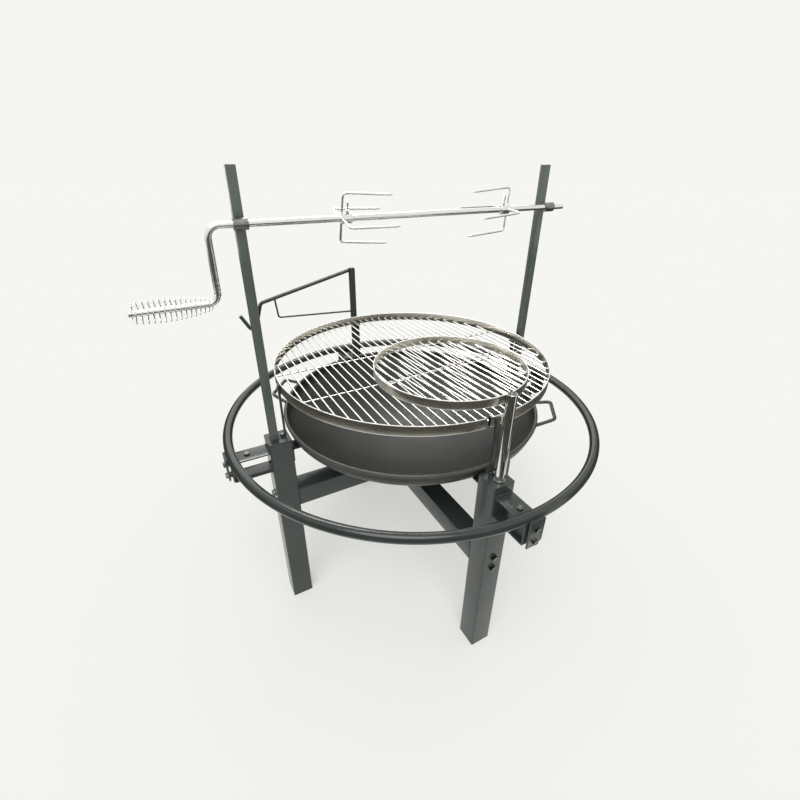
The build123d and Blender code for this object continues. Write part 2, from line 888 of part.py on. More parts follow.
# The coil's least gap to itself, measured between points half a turn or more apart
coil_steps = 4 * coil_samples
coil_points = [coil_place(i / coil_steps) for i in range(coil_turns * coil_steps + 1)]
least_gap = min(
    (coil_points[i] - coil_points[j]).length - 2 * coil_wire_radius
    for i in range(len(coil_points))
    for j in range(i + coil_steps // 2, len(coil_points))
)
wire_length = coil_line.wires()[0].length
print("coil: least gap", round(least_gap, 2), "tightest radius", round(min(coil_tightest), 2))
wire_volume = pi * coil_wire_radius**2 * wire_length
print("coil: volume over section times length", round(coil_grip.part.volume / wire_volume, 4))


def spit_frame(x, way, roll):
    """Plane square to the spit, with z along the prongs and x turned from straight up."""
    turn = radians(roll)
    return Plane(
        origin=(x, spit_front, spit_height),
        x_dir=(0, sin(turn), cos(turn)),
        z_dir=(way, 0, 0),
    )


# Spit forks, each a collar with four prongs
for name, bars, way, roll in (
    ("fork_left", fork_left_bars, 1, fork_left_roll),
    ("fork_right", fork_right_bars, -1, fork_right_roll),
):
    frame = spit_frame(bars, way, roll)
    with BuildPart() as fork:
        with BuildSketch(frame.offset(-collar_back)):
            Circle(collar_radius)
        extrude(amount=collar_length)
        for quarter in range(4):
            spoke = frame.x_dir.rotate(Axis(frame.origin, frame.z_dir), 90 * quarter)
            prong_plane = Plane(origin=frame.origin, x_dir=spoke, z_dir=spoke.cross(frame.z_dir))
            with BuildLine(prong_plane):
                FilletPolyline(
                    (collar_radius - prong_sink, 0),
                    (prong_radius, 0),
                    (prong_radius, prong_length - prong_point),
                    radius=prong_bend,
                )
            root = frame.origin + spoke * (collar_radius - prong_sink)
            with BuildSketch(Plane(origin=root, z_dir=spoke)):
                Circle(prong_bar_radius)
            sweep()
            tip = frame.origin + spoke * prong_radius + frame.z_dir * (prong_length - prong_point)
            with BuildSketch(Plane(origin=tip, z_dir=frame.z_dir)):
                Circle(prong_bar_radius)
            with BuildSketch(Plane(origin=tip + frame.z_dir * prong_point, z_dir=frame.z_dir)):
                Circle(prong_tip_radius)
            loft()
        with BuildSketch(frame.offset(-collar_back)):
            Circle(spit_radius + running_fit)
        extrude(amount=collar_length, mode=Mode.SUBTRACT)
        with BuildSketch(Plane(origin=frame.origin + frame.z_dir * thumb_offset, z_dir=frame.x_dir)):
            Circle(thumb_shank_radius + running_fit)
        extrude(amount=collar_radius + overrun, mode=Mode.SUBTRACT)
    fork.part.label = name
    save(fork.part)
    screw_axis = Plane(
        origin=frame.origin + frame.z_dir * thumb_offset,
        x_dir=frame.z_dir,
        z_dir=frame.x_dir,
    )
    with BuildPart() as thumbscrew:
        with BuildSketch(screw_axis.offset(spit_radius + thumb_tip_gap)):
            Circle(thumb_shank_radius)
        extrude(amount=collar_radius - spit_radius - thumb_tip_gap + thumb_neck)
        with BuildSketch(screw_axis.offset(collar_radius + weld_gap)):
            Circle(thumb_neck_radius)
        extrude(amount=thumb_neck)
        wing_plane = Plane(
            origin=screw_axis.origin + screw_axis.z_dir * (collar_radius + thumb_neck),
            x_dir=screw_axis.x_dir,
            z_dir=screw_axis.x_dir.cross(screw_axis.z_dir),
        )
        with BuildSketch(wing_plane):
            with Locations((0, thumb_wing_height / 2)):
                RectangleRounded(2 * thumb_wing_half, thumb_wing_height, thumb_wing_corner)
        extrude(amount=thumb_wing_thickness / 2, both=True)
    thumbscrew.part.label = name.replace("fork", "thumbscrew")
    save(thumbscrew.part)

# Pins on the front and rear legs, on which the side grill and the crane turn
for name, step, pin_top in (
    ("front_pivot_pin", -1, sleeve_top - pin_top_gap),
    ("rear_pivot_pin", 1, crane_top - crane_cap_thickness - pin_top_gap),
):
    with BuildPart() as pin:
        with BuildSketch(Plane.XY.offset(leg_height)):
            with Locations((0, step * pivot_centre)):
                Circle(sleeve_bore - running_fit)
        extrude(amount=pin_top - leg_height)
    pin.part.label = name
    save(pin.part)

# Thrust washers round the pins
pivot_washer = round_tube(pivot_washer_radius, sleeve_bore, pivot_washer_thickness)
with BuildPart() as pivot_washers:
    with Locations((0, -pivot_centre, leg_height), (0, pivot_centre, leg_height)):
        add(pivot_washer)
pivot_washers.part.label = "pivot_washers"
save(pivot_washers.part)

# Chrome sleeve of the side grill
with BuildPart() as grill_sleeve:
    with BuildSketch(Plane.XY.offset(sleeve_bottom)):
        with Locations((0, -pivot_centre)):
            Circle(sleeve_radius)
            Circle(sleeve_bore, mode=Mode.SUBTRACT)
    extrude(amount=sleeve_top - sleeve_bottom)
grill_sleeve.part.label = "grill_sleeve"
save(grill_sleeve.part)

# Side grill: its band touches the sleeve, its wires point away from it
side_way = Vector(cos(radians(side_turn)), sin(radians(side_turn)), 0)
side_centre = Vector(0, -pivot_centre, 0) + side_way * side_reach


def side_plane(height):
    """Level plane at the side grill's centre, with y away from the sleeve."""
    return Plane(
        origin=side_centre + Vector(0, 0, height),
        x_dir=side_way.cross(Vector(0, 0, 1)),
        z_dir=(0, 0, 1),
    )


with BuildPart() as side_grill_band:
    with BuildSketch(side_plane(side_band_bottom)):
        Circle(side_grill_radius)
        Circle(side_inner, mode=Mode.SUBTRACT)
    extrude(amount=side_band_height)
side_grill_band.part.label = "side_grill_band"
save(side_grill_band.part)

side_first = -side_wire_pitch * (side_wire_count - 1) / 2
across_plane = Plane(
    origin=side_centre, x_dir=side_way.cross(Vector(0, 0, 1)), z_dir=-side_way
)
with BuildPart() as side_grill_wires:
    for i in range(side_wire_count):
        with BuildSketch(across_plane):
            with Locations((side_first + i * side_wire_pitch, side_wire_height)):
                Circle(side_wire_radius)
        extrude(amount=side_grill_radius, both=True)
    with BuildSketch(side_plane(side_band_bottom)):
        Circle(side_inner)
    extrude(amount=side_band_height, mode=Mode.INTERSECT)
side_grill_wires.part.label = "side_grill_wires"
save(side_grill_wires.part)

along_plane = Plane(
    origin=side_centre, x_dir=side_way, z_dir=side_way.cross(Vector(0, 0, 1))
)
with BuildPart() as side_cross_wire:
    with BuildSketch(along_plane):
        with Locations((side_cross_offset, side_cross_height)):
            Circle(side_wire_radius)
    extrude(amount=side_grill_radius, both=True)
    with BuildSketch(side_plane(side_band_bottom - overrun)):
        Circle(side_inner)
    extrude(amount=side_band_height, mode=Mode.INTERSECT)
side_cross_wire.part.label = "side_cross_wire"
save(side_cross_wire.part)

# Pot crane: a tube on the rear pin, with a hooked arm and a brace
with BuildPart() as crane_post:
    with BuildSketch(Plane.XY.offset(sleeve_bottom)):
        with Locations((0, pivot_centre)):
            Circle(crane_post_radius)
            Circle(crane_bore, mode=Mode.SUBTRACT)
    extrude(amount=crane_top - crane_cap_thickness - sleeve_bottom)
crane_post.part.label = "crane_post"
save(crane_post.part)

with BuildPart() as crane_cap:
    with BuildSketch(Plane.XY.offset(crane_top - crane_cap_thickness)):
        with Locations((0, pivot_centre)):
            Circle(crane_cap_radius)
    extrude(amount=crane_cap_thickness)
crane_cap.part.label = "crane_cap"
save(crane_cap.part)

crane_plane = Plane(
    origin=(0, pivot_centre, 0), x_dir=outward(crane_turn), z_dir=outward(crane_turn - 90)
)
with BuildPart() as crane_arm:
    with BuildLine(crane_plane) as crane_line:
        FilletPolyline(
            (0, crane_arm_height),
            (crane_bend_reach, crane_bend_height),
            (crane_hook_reach, crane_hook_height),
            (crane_end_reach, crane_end_height),
            radius=(crane_bend, crane_hook_bend),
        )
    crane_path = crane_line.wires()[0]
    with BuildSketch(Plane(origin=crane_path @ 0, z_dir=crane_path % 0)):
        Circle(crane_bar_radius)
    sweep()
    with BuildSketch(Plane.XY.offset(leg_height)):
        with Locations((0, pivot_centre)):
            Circle(crane_post_radius)
    extrude(amount=crane_top - leg_height, mode=Mode.SUBTRACT)
crane_arm.part.label = "crane_arm"
save(crane_arm.part)

# The brace meets the arm from below and ends on the post
arm_slope = (crane_bend_height - crane_arm_height) / crane_bend_reach
brace_top_height = crane_arm_height + arm_slope * crane_brace_top_reach
with BuildPart() as crane_brace:
    with BuildLine(crane_plane) as brace_line:
        FilletPolyline(
            (0, crane_brace_height),
            (crane_brace_reach, crane_brace_height),
            (crane_brace_top_reach, brace_top_height),
            radius=crane_brace_bend,
        )
    brace_path = brace_line.wires()[0]
    with BuildSketch(Plane(origin=brace_path @ 0, z_dir=brace_path % 0)):
        Circle(crane_brace_radius)
    sweep()
    with BuildSketch(Plane.XY.offset(leg_height)):
        with Locations((0, pivot_centre)):
            Circle(crane_post_radius)
    extrude(amount=crane_top - leg_height, mode=Mode.SUBTRACT)
    add(crane_arm.part, mode=Mode.SUBTRACT)
crane_brace.part.label = "crane_brace"
save(crane_brace.part)

print("origin shift", origin_shift)
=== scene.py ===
import json
from math import acos, atan2, ceil, cos, degrees, pi, radians, sin, sqrt, tan

import bpy
from mathutils import Matrix, Quaternion, Vector, noise


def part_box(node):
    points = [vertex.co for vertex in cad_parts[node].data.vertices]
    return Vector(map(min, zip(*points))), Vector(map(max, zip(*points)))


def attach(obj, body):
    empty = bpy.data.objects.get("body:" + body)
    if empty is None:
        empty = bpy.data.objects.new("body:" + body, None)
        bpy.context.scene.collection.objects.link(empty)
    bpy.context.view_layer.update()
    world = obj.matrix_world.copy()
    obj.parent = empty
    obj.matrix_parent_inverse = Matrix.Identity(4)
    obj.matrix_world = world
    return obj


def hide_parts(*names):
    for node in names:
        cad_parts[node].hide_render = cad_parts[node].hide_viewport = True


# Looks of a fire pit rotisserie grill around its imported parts. Metres, +Z up.
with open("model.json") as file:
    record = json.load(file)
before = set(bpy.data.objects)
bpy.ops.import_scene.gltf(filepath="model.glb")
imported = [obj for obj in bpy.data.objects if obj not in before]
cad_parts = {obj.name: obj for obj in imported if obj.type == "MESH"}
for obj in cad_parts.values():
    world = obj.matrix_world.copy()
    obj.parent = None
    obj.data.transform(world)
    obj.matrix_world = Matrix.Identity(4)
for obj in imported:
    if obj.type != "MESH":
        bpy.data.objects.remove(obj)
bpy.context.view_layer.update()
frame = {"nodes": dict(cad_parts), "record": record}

# Camera
camera_place = Vector((-0.52515, -0.9788, 1.2323))
camera_angles = (-28.955, -29.328, 0.476)
camera_lens = 19.37
sensor_width = 36
near_clip = 0.01

# Floor, background and light
floor_radius = 30
floor_colour = (0.965, 0.965, 0.935)
floor_glow = 0.4
floor_glow_colour = (0.994, 0.994, 0.957)
background_colour = (0.913, 0.913, 0.878)
sky_colour = (1, 1, 0.99)
sky_light = 0.52
sun_strength = 1.4
sun_angle = 42
sun_way = Vector((0.32, 0.42, -0.86))

# Dark screens and glowing panels that show in reflections alone and put no light on the object: painted
# dark reflections and painted highlights
screen_radius = 1.05
screen_height = 0.9
screen_spans = ((-245, -66), (-54, 85))
screen_step = 4
screen_colour = (0.105, 0.1, 0.085)
panel_colour = (1, 1, 0.98)
# Name: middle, half of its width, half of its height, brightness
panels = {
    "bright_wall": (Vector((0.9, 2.2, 2.1)), Vector((2.2, 0, 0)), Vector((0, 0, 1.15)), 1.9),
    "highlight_panel": (Vector((0.3, 1.25, 2.7)), Vector((0.9, 0, 0)), Vector((0, 0.32, 0)), 14),
}

# Rounding of edges and fineness of the meshes
edge_round = 0.0006
tube_corner = 0.0035
plate_corner = 0.0028
strap_edge = 0.0008
arc_step = radians(6)
round_sides = 20
wire_sides = 12
wire_steps = 40
ring_steps = 300
bowl_steps = 256
band_steps = 288
side_band_steps = 220

# Steel plate, tubes and beams
plate_thickness = 0.003
beam_wall = 0.003

# Bolts: shank radius, across flats and head height, or the nut's height for the screws' nuts
leg_bolt = (0.005, 0.016, 0.0064)
leg_nut_height = 0.008
leg_bolt_pitch = 0.036
leg_washer_radius = 0.01
leg_washer_thickness = 0.002
leg_bolt_tail = 0.003
beam_plate_thickness = 0.006
arm_bolt = (0.004, 0.013, 0.0053)
arm_nut_height = 0.0065
arm_bolt_tail = 0.002
arm_bolt_reach = 0.486
tab_bolt_pitch = 0.035
spacer_radius = 0.008
support_bolt = (0.003, 0.01, 0.004)
screw_nut = (0.0025, 0.008, 0.004)
screw_head_radius = 0.0045
screw_head = 0.003
screw_rise = 0.013
screw_tail = 0.001
thread_pitch = 0.0012
thread_length = 0.02
hex_round = 0.475
hex_chamfer = radians(30)

# Straps
arm_strap = 0.004
arm_bend = 0.0055
tab_thickness = 0.005
tab_corner = 0.012
rest_thickness = 0.004
rest_width = 0.04
rest_reach = 0.03
rest_bend = 0.006
support_thickness = 0.004
support_bend = 0.005
support_foot = 0.012

# Bowl
bowl_wall = 0.003
bowl_knuckle = 0.045
bowl_flange = 0.008
bead_radius = 0.005
crown_steps = 40
knuckle_steps = 16
bead_steps = 24

# Twisted bowl handles
handle_bar = 0.0082
handle_bar_corner = 0.0012
handle_step = 0.0012
handle_root_drop = 0.018
handle_root_half = 0.066
handle_outer_half = 0.05
handle_reach = 0.05
handle_inset = 0.001
handle_bend = 0.014
handle_tilt = radians(18)
handle_twist_pitch = 0.03
handle_angles = {"right": -38, "left": 142}

# Grills
wire_radius = 0.002
wire_wave = 0.0004
grill_wire_pitch = 0.0225
grill_wire_count = 32
grill_wire_rise = 0.007
grill_cross_offset = 0.086
band_thickness = 0.002
band_corner = 0.0009
# Width of the strips along the bands' top and bottom edges that are painted bright as a highlight
band_edge = 0.0012
joint_width = 0.01
joint_fold = 0.008
joint_bend = 0.0015
slot_margin = 0.0004
slot_depth = 0.0016
side_wire_pitch = 0.023
side_wire_count = 15
side_wire_rise = 0.0055
side_cross_offset = 0.024
side_turn = 96.5

# Spit, crank and coil grip
post_corner = 0.002
bush_length = 0.029
bush_gap = 0.0003
turned_edge = 0.0008
crank_arm = 0.16
crank_lean = radians(9.3)
crank_bend = 0.024
spit_chamfer = 0.002
coil_wire_radius = 0.0011
coil_turns = 15
coil_start_gap = 0.018
coil_length = 0.146
coil_root_radius = 0.0128
coil_widest_radius = 0.024
coil_outer_radius = 0.02
coil_widest_share = 0.65
coil_even_share = 0.9
coil_samples = 40
coil_lead_turns = 1.25
coil_lead_in = 0.0026
coil_lead_out = 0.0028

# Forks and thumbscrews
collar_radius = 0.0115
collar_length = 0.027
collar_back = 0.004
collar_gap = 0.0002
prong_bar_radius = 0.00275
prong_radius = 0.0535
prong_root = 0.001
prong_bend = 0.008
prong_point = 0.014
prong_tip_radius = 0.0006
fork_rolls = {"left": -16, "right": -4}
prong_droops = {"left": (3, 1, 5, 1.7), "right": (4.4, 0, 3.8, 4.3)}
thumb_offset = 0.013
thumb_turn = 62
thumb_gap = 0.0001
thumb_shank_radius = 0.003
thumb_neck_radius = 0.005
thumb_neck = 0.006
thumb_ear_half = 0.0045
thumb_ear_gap = 0.001
thumb_ear_spread = 0.0042
thumb_wing_height = 0.02
thumb_wing_thickness = 0.0035
# Share of the wing's height, share of the ear's width there
thumb_ear_outline = (
    (-0.06, 0.5), (0.02, 0.62), (0.15, 0.8), (0.32, 0.95), (0.5, 1),
    (0.7, 0.95), (0.86, 0.78), (0.95, 0.56), (0.99, 0.34),
)

# Sleeve and pot crane
pivot_bore = 0.009
sleeve_edge = 0.0006
crane_post_edge = 0.0005
cap_low_edge = 0.0006
cap_high_edge = 0.0008
crane_turn = 169
crane_sink = 0.001
crane_arm_drop = 0.005
# Reach and drop of the arm's first bend, its hook and its end
crane_stations = ((0.312, 0.098), (0.344, 0.204), (0.382, 0.135))
crane_brace_reach = 0.259
crane_brace_drop = 0.151
crane_brace_top_reach = 0.265
crane_bar_radius = 0.006
crane_brace_radius = 0.003
crane_bends = (0.018, 0.013)
crane_brace_bend = 0.008
crane_tip_edge = 0.001

# Radii of the weld beads, and their small distances from the pieces that they join
handle_weld, handle_weld_circle, handle_weld_lift = 0.0018, 0.0055, 0.001
wire_weld, side_wire_weld, wire_weld_lift = 0.0009, 0.0008, 0.0006
post_weld, post_weld_gap, post_weld_rise = 0.0014, 0.0005, 0.001
bush_weld, bush_weld_sink, bush_weld_half = 0.0022, 0.0015, 0.0055
bush_weld_start, bush_weld_step = 0.004, 0.003
fork_weld = 0.0012
sleeve_weld, sleeve_weld_half, sleeve_weld_end = 0.0018, 0.0016, 0.002
crane_arm_weld, crane_brace_weld, crane_weld_lift = 0.002, 0.0014, 0.0012
ring_weld, ring_weld_drop, ring_weld_gap = 0.0026, 0.0012, 0.0008
arm_weld, arm_weld_gap, arm_weld_drop = 0.0022, 0.0005, 0.0026

upward = Vector((0, 0, 1))


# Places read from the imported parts


def middle_of(node):
    """Middle of a CAD node's box."""
    low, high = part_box(node)
    return (low + high) / 2


def axis_of(node):
    """Point on a CAD node's upright axis, at zero height."""
    middle = middle_of(node)
    return Vector((middle.x, middle.y, 0))


def radius_of(node):
    """Half of a CAD node's width."""
    low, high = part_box(node)
    return (high.x - low.x) / 2


pit = axis_of("fire_bowl")
side_angles = {"left": 180, "right": 0, "front": -90, "rear": 90}
beams = {"left": "beam_upper", "right": "beam_upper", "front": "beam_lower", "rear": "beam_lower"}
leg_low, leg_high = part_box("leg_right")
leg_inner = leg_low.x - pit.x
leg_outer = leg_high.x - pit.x
leg_width = leg_outer - leg_inner
leg_centre = (leg_inner + leg_outer) / 2
leg_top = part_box("leg_caps")[1].z
arm_low, arm_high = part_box("ring_arm_right")
arm_end = arm_high.x - pit.x
arm_middle = (arm_low.z + arm_high.z) / 2
arm_width = arm_high.y - arm_low.y
tab_low, tab_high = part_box("ring_tabs")
tab_outer = tab_high.x - pit.x
tab_inner = tab_outer - tab_thickness
ring_low, ring_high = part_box("foot_ring")
ring_tube = (ring_high.z - ring_low.z) / 2
ring_radius = radius_of("foot_ring") - ring_tube
grill_low, grill_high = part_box("grill_band")
grill_radius = radius_of("grill_band")
side_low, side_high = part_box("side_grill_band")
side_radius = radius_of("side_grill_band")
side_centre = middle_of("side_grill_band")
side_way = Vector((cos(radians(side_turn)), sin(radians(side_turn)), 0))


# Mesh shapes, each a pair of vertices and faces


def skin(loops, closed=False):
    """Faces that join loops of points, with end caps unless the loops close."""
    verts = [point for loop in loops for point in loop]
    count = len(loops[0])
    faces = []
    for i in range(len(loops) if closed else len(loops) - 1):
        a = i * count
        b = (i + 1) % len(loops) * count
        for j in range(count):
            k = (j + 1) % count
            faces.append((a + j, a + k, b + k, b + j))
    if not closed:
        last = (len(loops) - 1) * count
        faces.append(tuple(reversed(range(count))))
        faces.append(tuple(range(last, last + count)))
    return verts, faces


def join(shapes):
    """One shape made of several."""
    verts, faces = [], []
    for more_verts, more_faces in shapes:
        first = len(verts)
        verts += more_verts
        faces += [tuple(first + i for i in face) for face in more_faces]
    return verts, faces


def moved(shape, matrix):
    """The shape carried to another place."""
    return [matrix @ Vector(v) for v in shape[0]], shape[1]


def circle(radius, sides=round_sides):
    """Points of a circle."""
    turns = [2 * pi * i / sides for i in range(sides)]
    return [(radius * cos(turn), radius * sin(turn)) for turn in turns]


def rounded_rectangle(width, depth, corner, steps=4):
    """Points of a rectangle with round corners."""
    points = []
    for quarter, (sx, sy) in enumerate(((1, 1), (-1, 1), (-1, -1), (1, -1))):
        centre = (sx * (width / 2 - corner), sy * (depth / 2 - corner))
        for i in range(steps + 1):
            turn = pi / 2 * (quarter + i / steps)
            points.append((centre[0] + corner * cos(turn), centre[1] + corner * sin(turn)))
    return points


def level_loop(points, height, share=1):
    """Flat points scaled and set at a height."""
    return [Vector((u * share, v * share, height)) for u, v in points]


def off_axis(way):
    """A direction that is far from the given one."""
    return upward if abs(way.z) < 0.9 else Vector((0, 1, 0))


def line_frames(points, closed=False, normal=None):
    """Tangent, normal and side direction at each point of a line, carried without twist."""
    count = len(points)
    ways = []
    for i in range(count):
        before = points[i - 1] if i or closed else points[0]
        after = points[(i + 1) % count] if i < count - 1 or closed else points[-1]
        ways.append((after - before).normalized())
    normal = normal or off_axis(ways[0])
    frames = []
    for way in ways:
        normal = (normal - way * normal.dot(way)).normalized()
        frames.append((way, normal, way.cross(normal)))
    return frames


def sweep(points, section, closed=False, normal=None, turn=None, scale=None):
    """A section carried along a line of points, turned and scaled by functions of the length."""
    loops = []
    length = 0
    for i, (way, up, side) in enumerate(line_frames(points, closed, normal)):
        if i:
            length += (points[i] - points[i - 1]).length
        angle = turn(length) if turn else 0
        size = scale(length) if scale else 1
        across = up * cos(angle) + side * sin(angle)
        along = side * cos(angle) - up * sin(angle)
        loops.append([points[i] + (across * u + along * v) * size for u, v in section])
    return skin(loops, closed)


def path_length(points):
    """Length of a line of points."""
    return sum((b - a).length for a, b in zip(points, points[1:]))


def broken_ends(total, edge, share, both=True):
    """Function of the length that makes a section smaller at its far end, or at both ends."""

    def scale(length):
        near = both and length < edge / 2
        return share if near or length > total - edge / 2 else 1

    return scale


def bar(start, end, section, half_width, normal=None):
    """A straight bar with its end edges broken."""
    way = (end - start).normalized()
    points = [start, start + way * edge_round, end - way * edge_round, end]
    scale = broken_ends((end - start).length, edge_round, 1 - edge_round / half_width)
    return sweep(points, section, normal=normal, scale=scale)


def square_tube(start, end):
    """The square tube of a leg or beam, open at both ends."""
    bore = leg_width - 2 * beam_wall
    outer = rounded_rectangle(leg_width, leg_width, tube_corner)
    inner = rounded_rectangle(bore, bore, max(tube_corner - beam_wall, edge_round))
    up, side = line_frames([start, end])[0][1:]
    loops = []
    for place, section in ((start, outer), (end, outer), (end, inner), (start, inner)):
        loops.append([place + up * u + side * v for u, v in section])
    return skin(loops, closed=True)


def rounded_path(corners, radii):
    """Straight runs joined by tangent arcs, as bent bar or strap has."""
    points = [corners[0]]
    for before, corner, after, radius in zip(corners, corners[1:], corners[2:], radii):
        back = (before - corner).normalized()
        ahead = (after - corner).normalized()
        half = back.angle(ahead) / 2
        centre = corner + (back + ahead).normalized() * radius / sin(half)
        start = corner + back * radius / tan(half)
        end = corner + ahead * radius / tan(half)
        axis = (start - centre).cross(end - centre).normalized()
        steps = max(3, ceil((pi - 2 * half) / arc_step))
        for i in range(steps + 1):
            points.append(centre + Quaternion(axis, (pi - 2 * half) * i / steps) @ (start - centre))
    points.append(corners[-1])
    return points


def lathe(profile, steps, closed=False):
    """A profile of radius and height points turned round the Z axis."""
    loops = [level_loop(circle(max(radius, 1e-6), steps), height) for radius, height in profile]
    return skin(loops, closed)


def facing(place, way):
    """Matrix that stands a shape's Z axis along a direction at a place."""
    way = way.normalized()
    across = off_axis(way).cross(way).normalized()
    turn = Matrix((across, way.cross(across), way)).transposed().to_4x4()
    return Matrix.Translation(place) @ turn


def spun(angle):
    """Matrix that turns a shape round its Z axis."""
    return Matrix.Rotation(radians(angle), 4, "Z")


def outward(angle):
    """Level unit vector from the pit's axis."""
    return Vector((cos(radians(angle)), sin(radians(angle)), 0))


def place_at(angle, radius, height, across=0):
    """Point at an angle, a radius and a height round the pit's axis."""
    return pit + outward(angle) * radius + outward(angle + 90) * across + upward * height


def outward_seat(angle, radius, height):
    """Matrix that seats a shape on a face that looks away from the pit's axis."""
    return facing(place_at(angle, radius, height), outward(angle))


def upright_seat(angle, radius, height):
    """Matrix that seats a shape on a level face."""
    return facing(place_at(angle, radius, height), upward)


def strap_section(thickness, width):
    """Section of flat strap with its edges broken."""
    return rounded_rectangle(thickness, width, strap_edge, steps=2)


def bent_strap(angle, stations, bend, thickness, width):
    """A strap bent through points of radius and height, at an angle round the pit."""
    corners = [place_at(angle, reach, height) for reach, height in stations]
    path = rounded_path(corners, [bend] * (len(corners) - 2))
    return sweep(path, strap_section(thickness, width), normal=upward)


def hex_outline(flats, per_side=6):
    """Points of a hexagon, evenly spaced along its sides."""
    corners = [Vector(point) for point in circle(flats / sqrt(3), 6)]
    points = []
    for a, b in zip(corners, corners[1:] + corners[:1]):
        points += [tuple(a.lerp(b, i / per_side)) for i in range(per_side)]
    return points


def hex_loops(flats, height, round_low=False):
    """Loops and rim of a hexagon whose corners a cone cuts above, and below if asked."""
    outline = hex_outline(flats)
    cuts = [max(0, sqrt(u * u + v * v) - flats * hex_round) * tan(hex_chamfer) for u, v in outline]
    shares = [flats * hex_round / sqrt(u * u + v * v) for u, v in outline]
    rim = [(u * share, v * share) for (u, v), share in zip(outline, shares)]
    loops = [level_loop(rim if round_low else outline, 0)]
    if round_low:
        loops.append([Vector((u, v, cut)) for (u, v), cut in zip(outline, cuts)])
    loops.append([Vector((u, v, height - cut)) for (u, v), cut in zip(outline, cuts)])
    loops.append(level_loop(rim, height))
    return loops, rim


def hex_head(flats, height):
    """Bolt head with a cone-cut rim and a shallow round dish."""
    loops, rim = hex_loops(flats, height)
    for share, drop in ((0.78, 0), (0.7, 0.09), (0.2, 0.11), (0.001, 0.11)):
        loops.append(level_loop(rim, height * (1 - drop), share))
    return skin(loops)


def shank(radius, low_height, high_height):
    """Bolt shank from a low to a high height, with a thread cut at its low end."""
    height = low_height + radius * 0.2
    profile = [(0, low_height), (radius * 0.75, low_height), (radius * 0.9, height)]
    depth = thread_pitch * 0.35
    while height + thread_pitch < min(high_height, low_height + thread_length):
        profile += [(radius, height + thread_pitch * 0.4), (radius - depth, height + thread_pitch * 0.9)]
        height += thread_pitch
    profile += [(radius, height + thread_pitch), (radius, high_height), (0, high_height)]
    return lathe(profile, 24)


def bolt(size, tail, seat):
    """Hexagon bolt with its head on a seat and its shank down to a tail."""
    radius, flats, head_height = size
    return moved(join([hex_head(flats, head_height), shank(radius, tail, 0)]), seat)


def nut(size, height, seat):
    """Nut with cone-cut corners above and below, and a chamfered bore."""
    bore, flats = size[:2]
    loops, rim = hex_loops(flats, height, round_low=True)
    for radius, level in ((1.15, height), (1, height * 0.93), (1, height * 0.07), (1.15, 0)):
        loops.append(level_loop(rim, level, radius * bore / (flats * hex_round)))
    return moved(skin(loops, closed=True), seat)


def turned_profile(outer, inner, low, high, low_edge, high_edge):
    """Profile of a turned piece with its outer edges broken."""
    profile = [(inner, low), (outer - low_edge, low), (outer, low + low_edge)]
    return profile + [(outer, high - high_edge), (outer - high_edge, high), (inner, high)]


def ring_plate(outer, inner, low, high, edge=0.0004):
    """Washer, spacer, bush or tube."""
    return lathe(turned_profile(outer, inner, low, high, edge, edge), 48, closed=True)


def upright_tube(node, edge):
    """The tube that turns on a pivot pin, in the place of its CAD node."""
    low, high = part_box(node)
    tube = ring_plate(radius_of(node), pivot_bore, low.z, high.z, edge)
    return moved(tube, Matrix.Translation(axis_of(node)))


def fine_line(points, step):
    """The line with points added, so that none are further apart than a step."""
    fine = [points[0]]
    for point in points[1:]:
        start = fine[-1]
        steps = max(1, ceil((point - start).length / step))
        fine += [start.lerp(point, i / steps) for i in range(1, steps + 1)]
    return fine


def weld_bead(points, radius, seed, closed=False):
    """A weld bead: overlapping ripples along a line, a little uneven."""
    pitch = radius * 1.1
    fine = fine_line(points + points[:1] if closed else points, pitch / 4)

    def ripple(length):
        wave = abs(sin(pi * length / pitch))
        uneven = noise.noise(Vector((length / pitch * 0.7, seed, 0)))
        return 0.82 + 0.16 * wave + 0.16 * uneven

    return sweep(fine[:-1] if closed else fine, circle(radius, 10), closed=closed, scale=ripple)


def weld_round(place, way, circle_radius, radius, seed, lift=0):
    """A weld bead round a bar, lifted off a place along the bar's way."""
    seat = facing(place + way * lift, way)
    points = [seat @ point for point in level_loop(circle(circle_radius, 36), 0)]
    return weld_bead(points, radius, seed, closed=True)


def weld_across(angle, reach, height, width, share, radius, seed, bulge=0):
    """A level weld bead across a plate at an angle round the pit, its ends drawn in by a bulge."""
    line = []
    for i in range(13):
        across = width * (i / 12 - 0.5) * share
        line.append(place_at(angle, reach - (across / width) ** 2 * bulge, height, across))
    return weld_bead(line, radius, seed)


# Materials


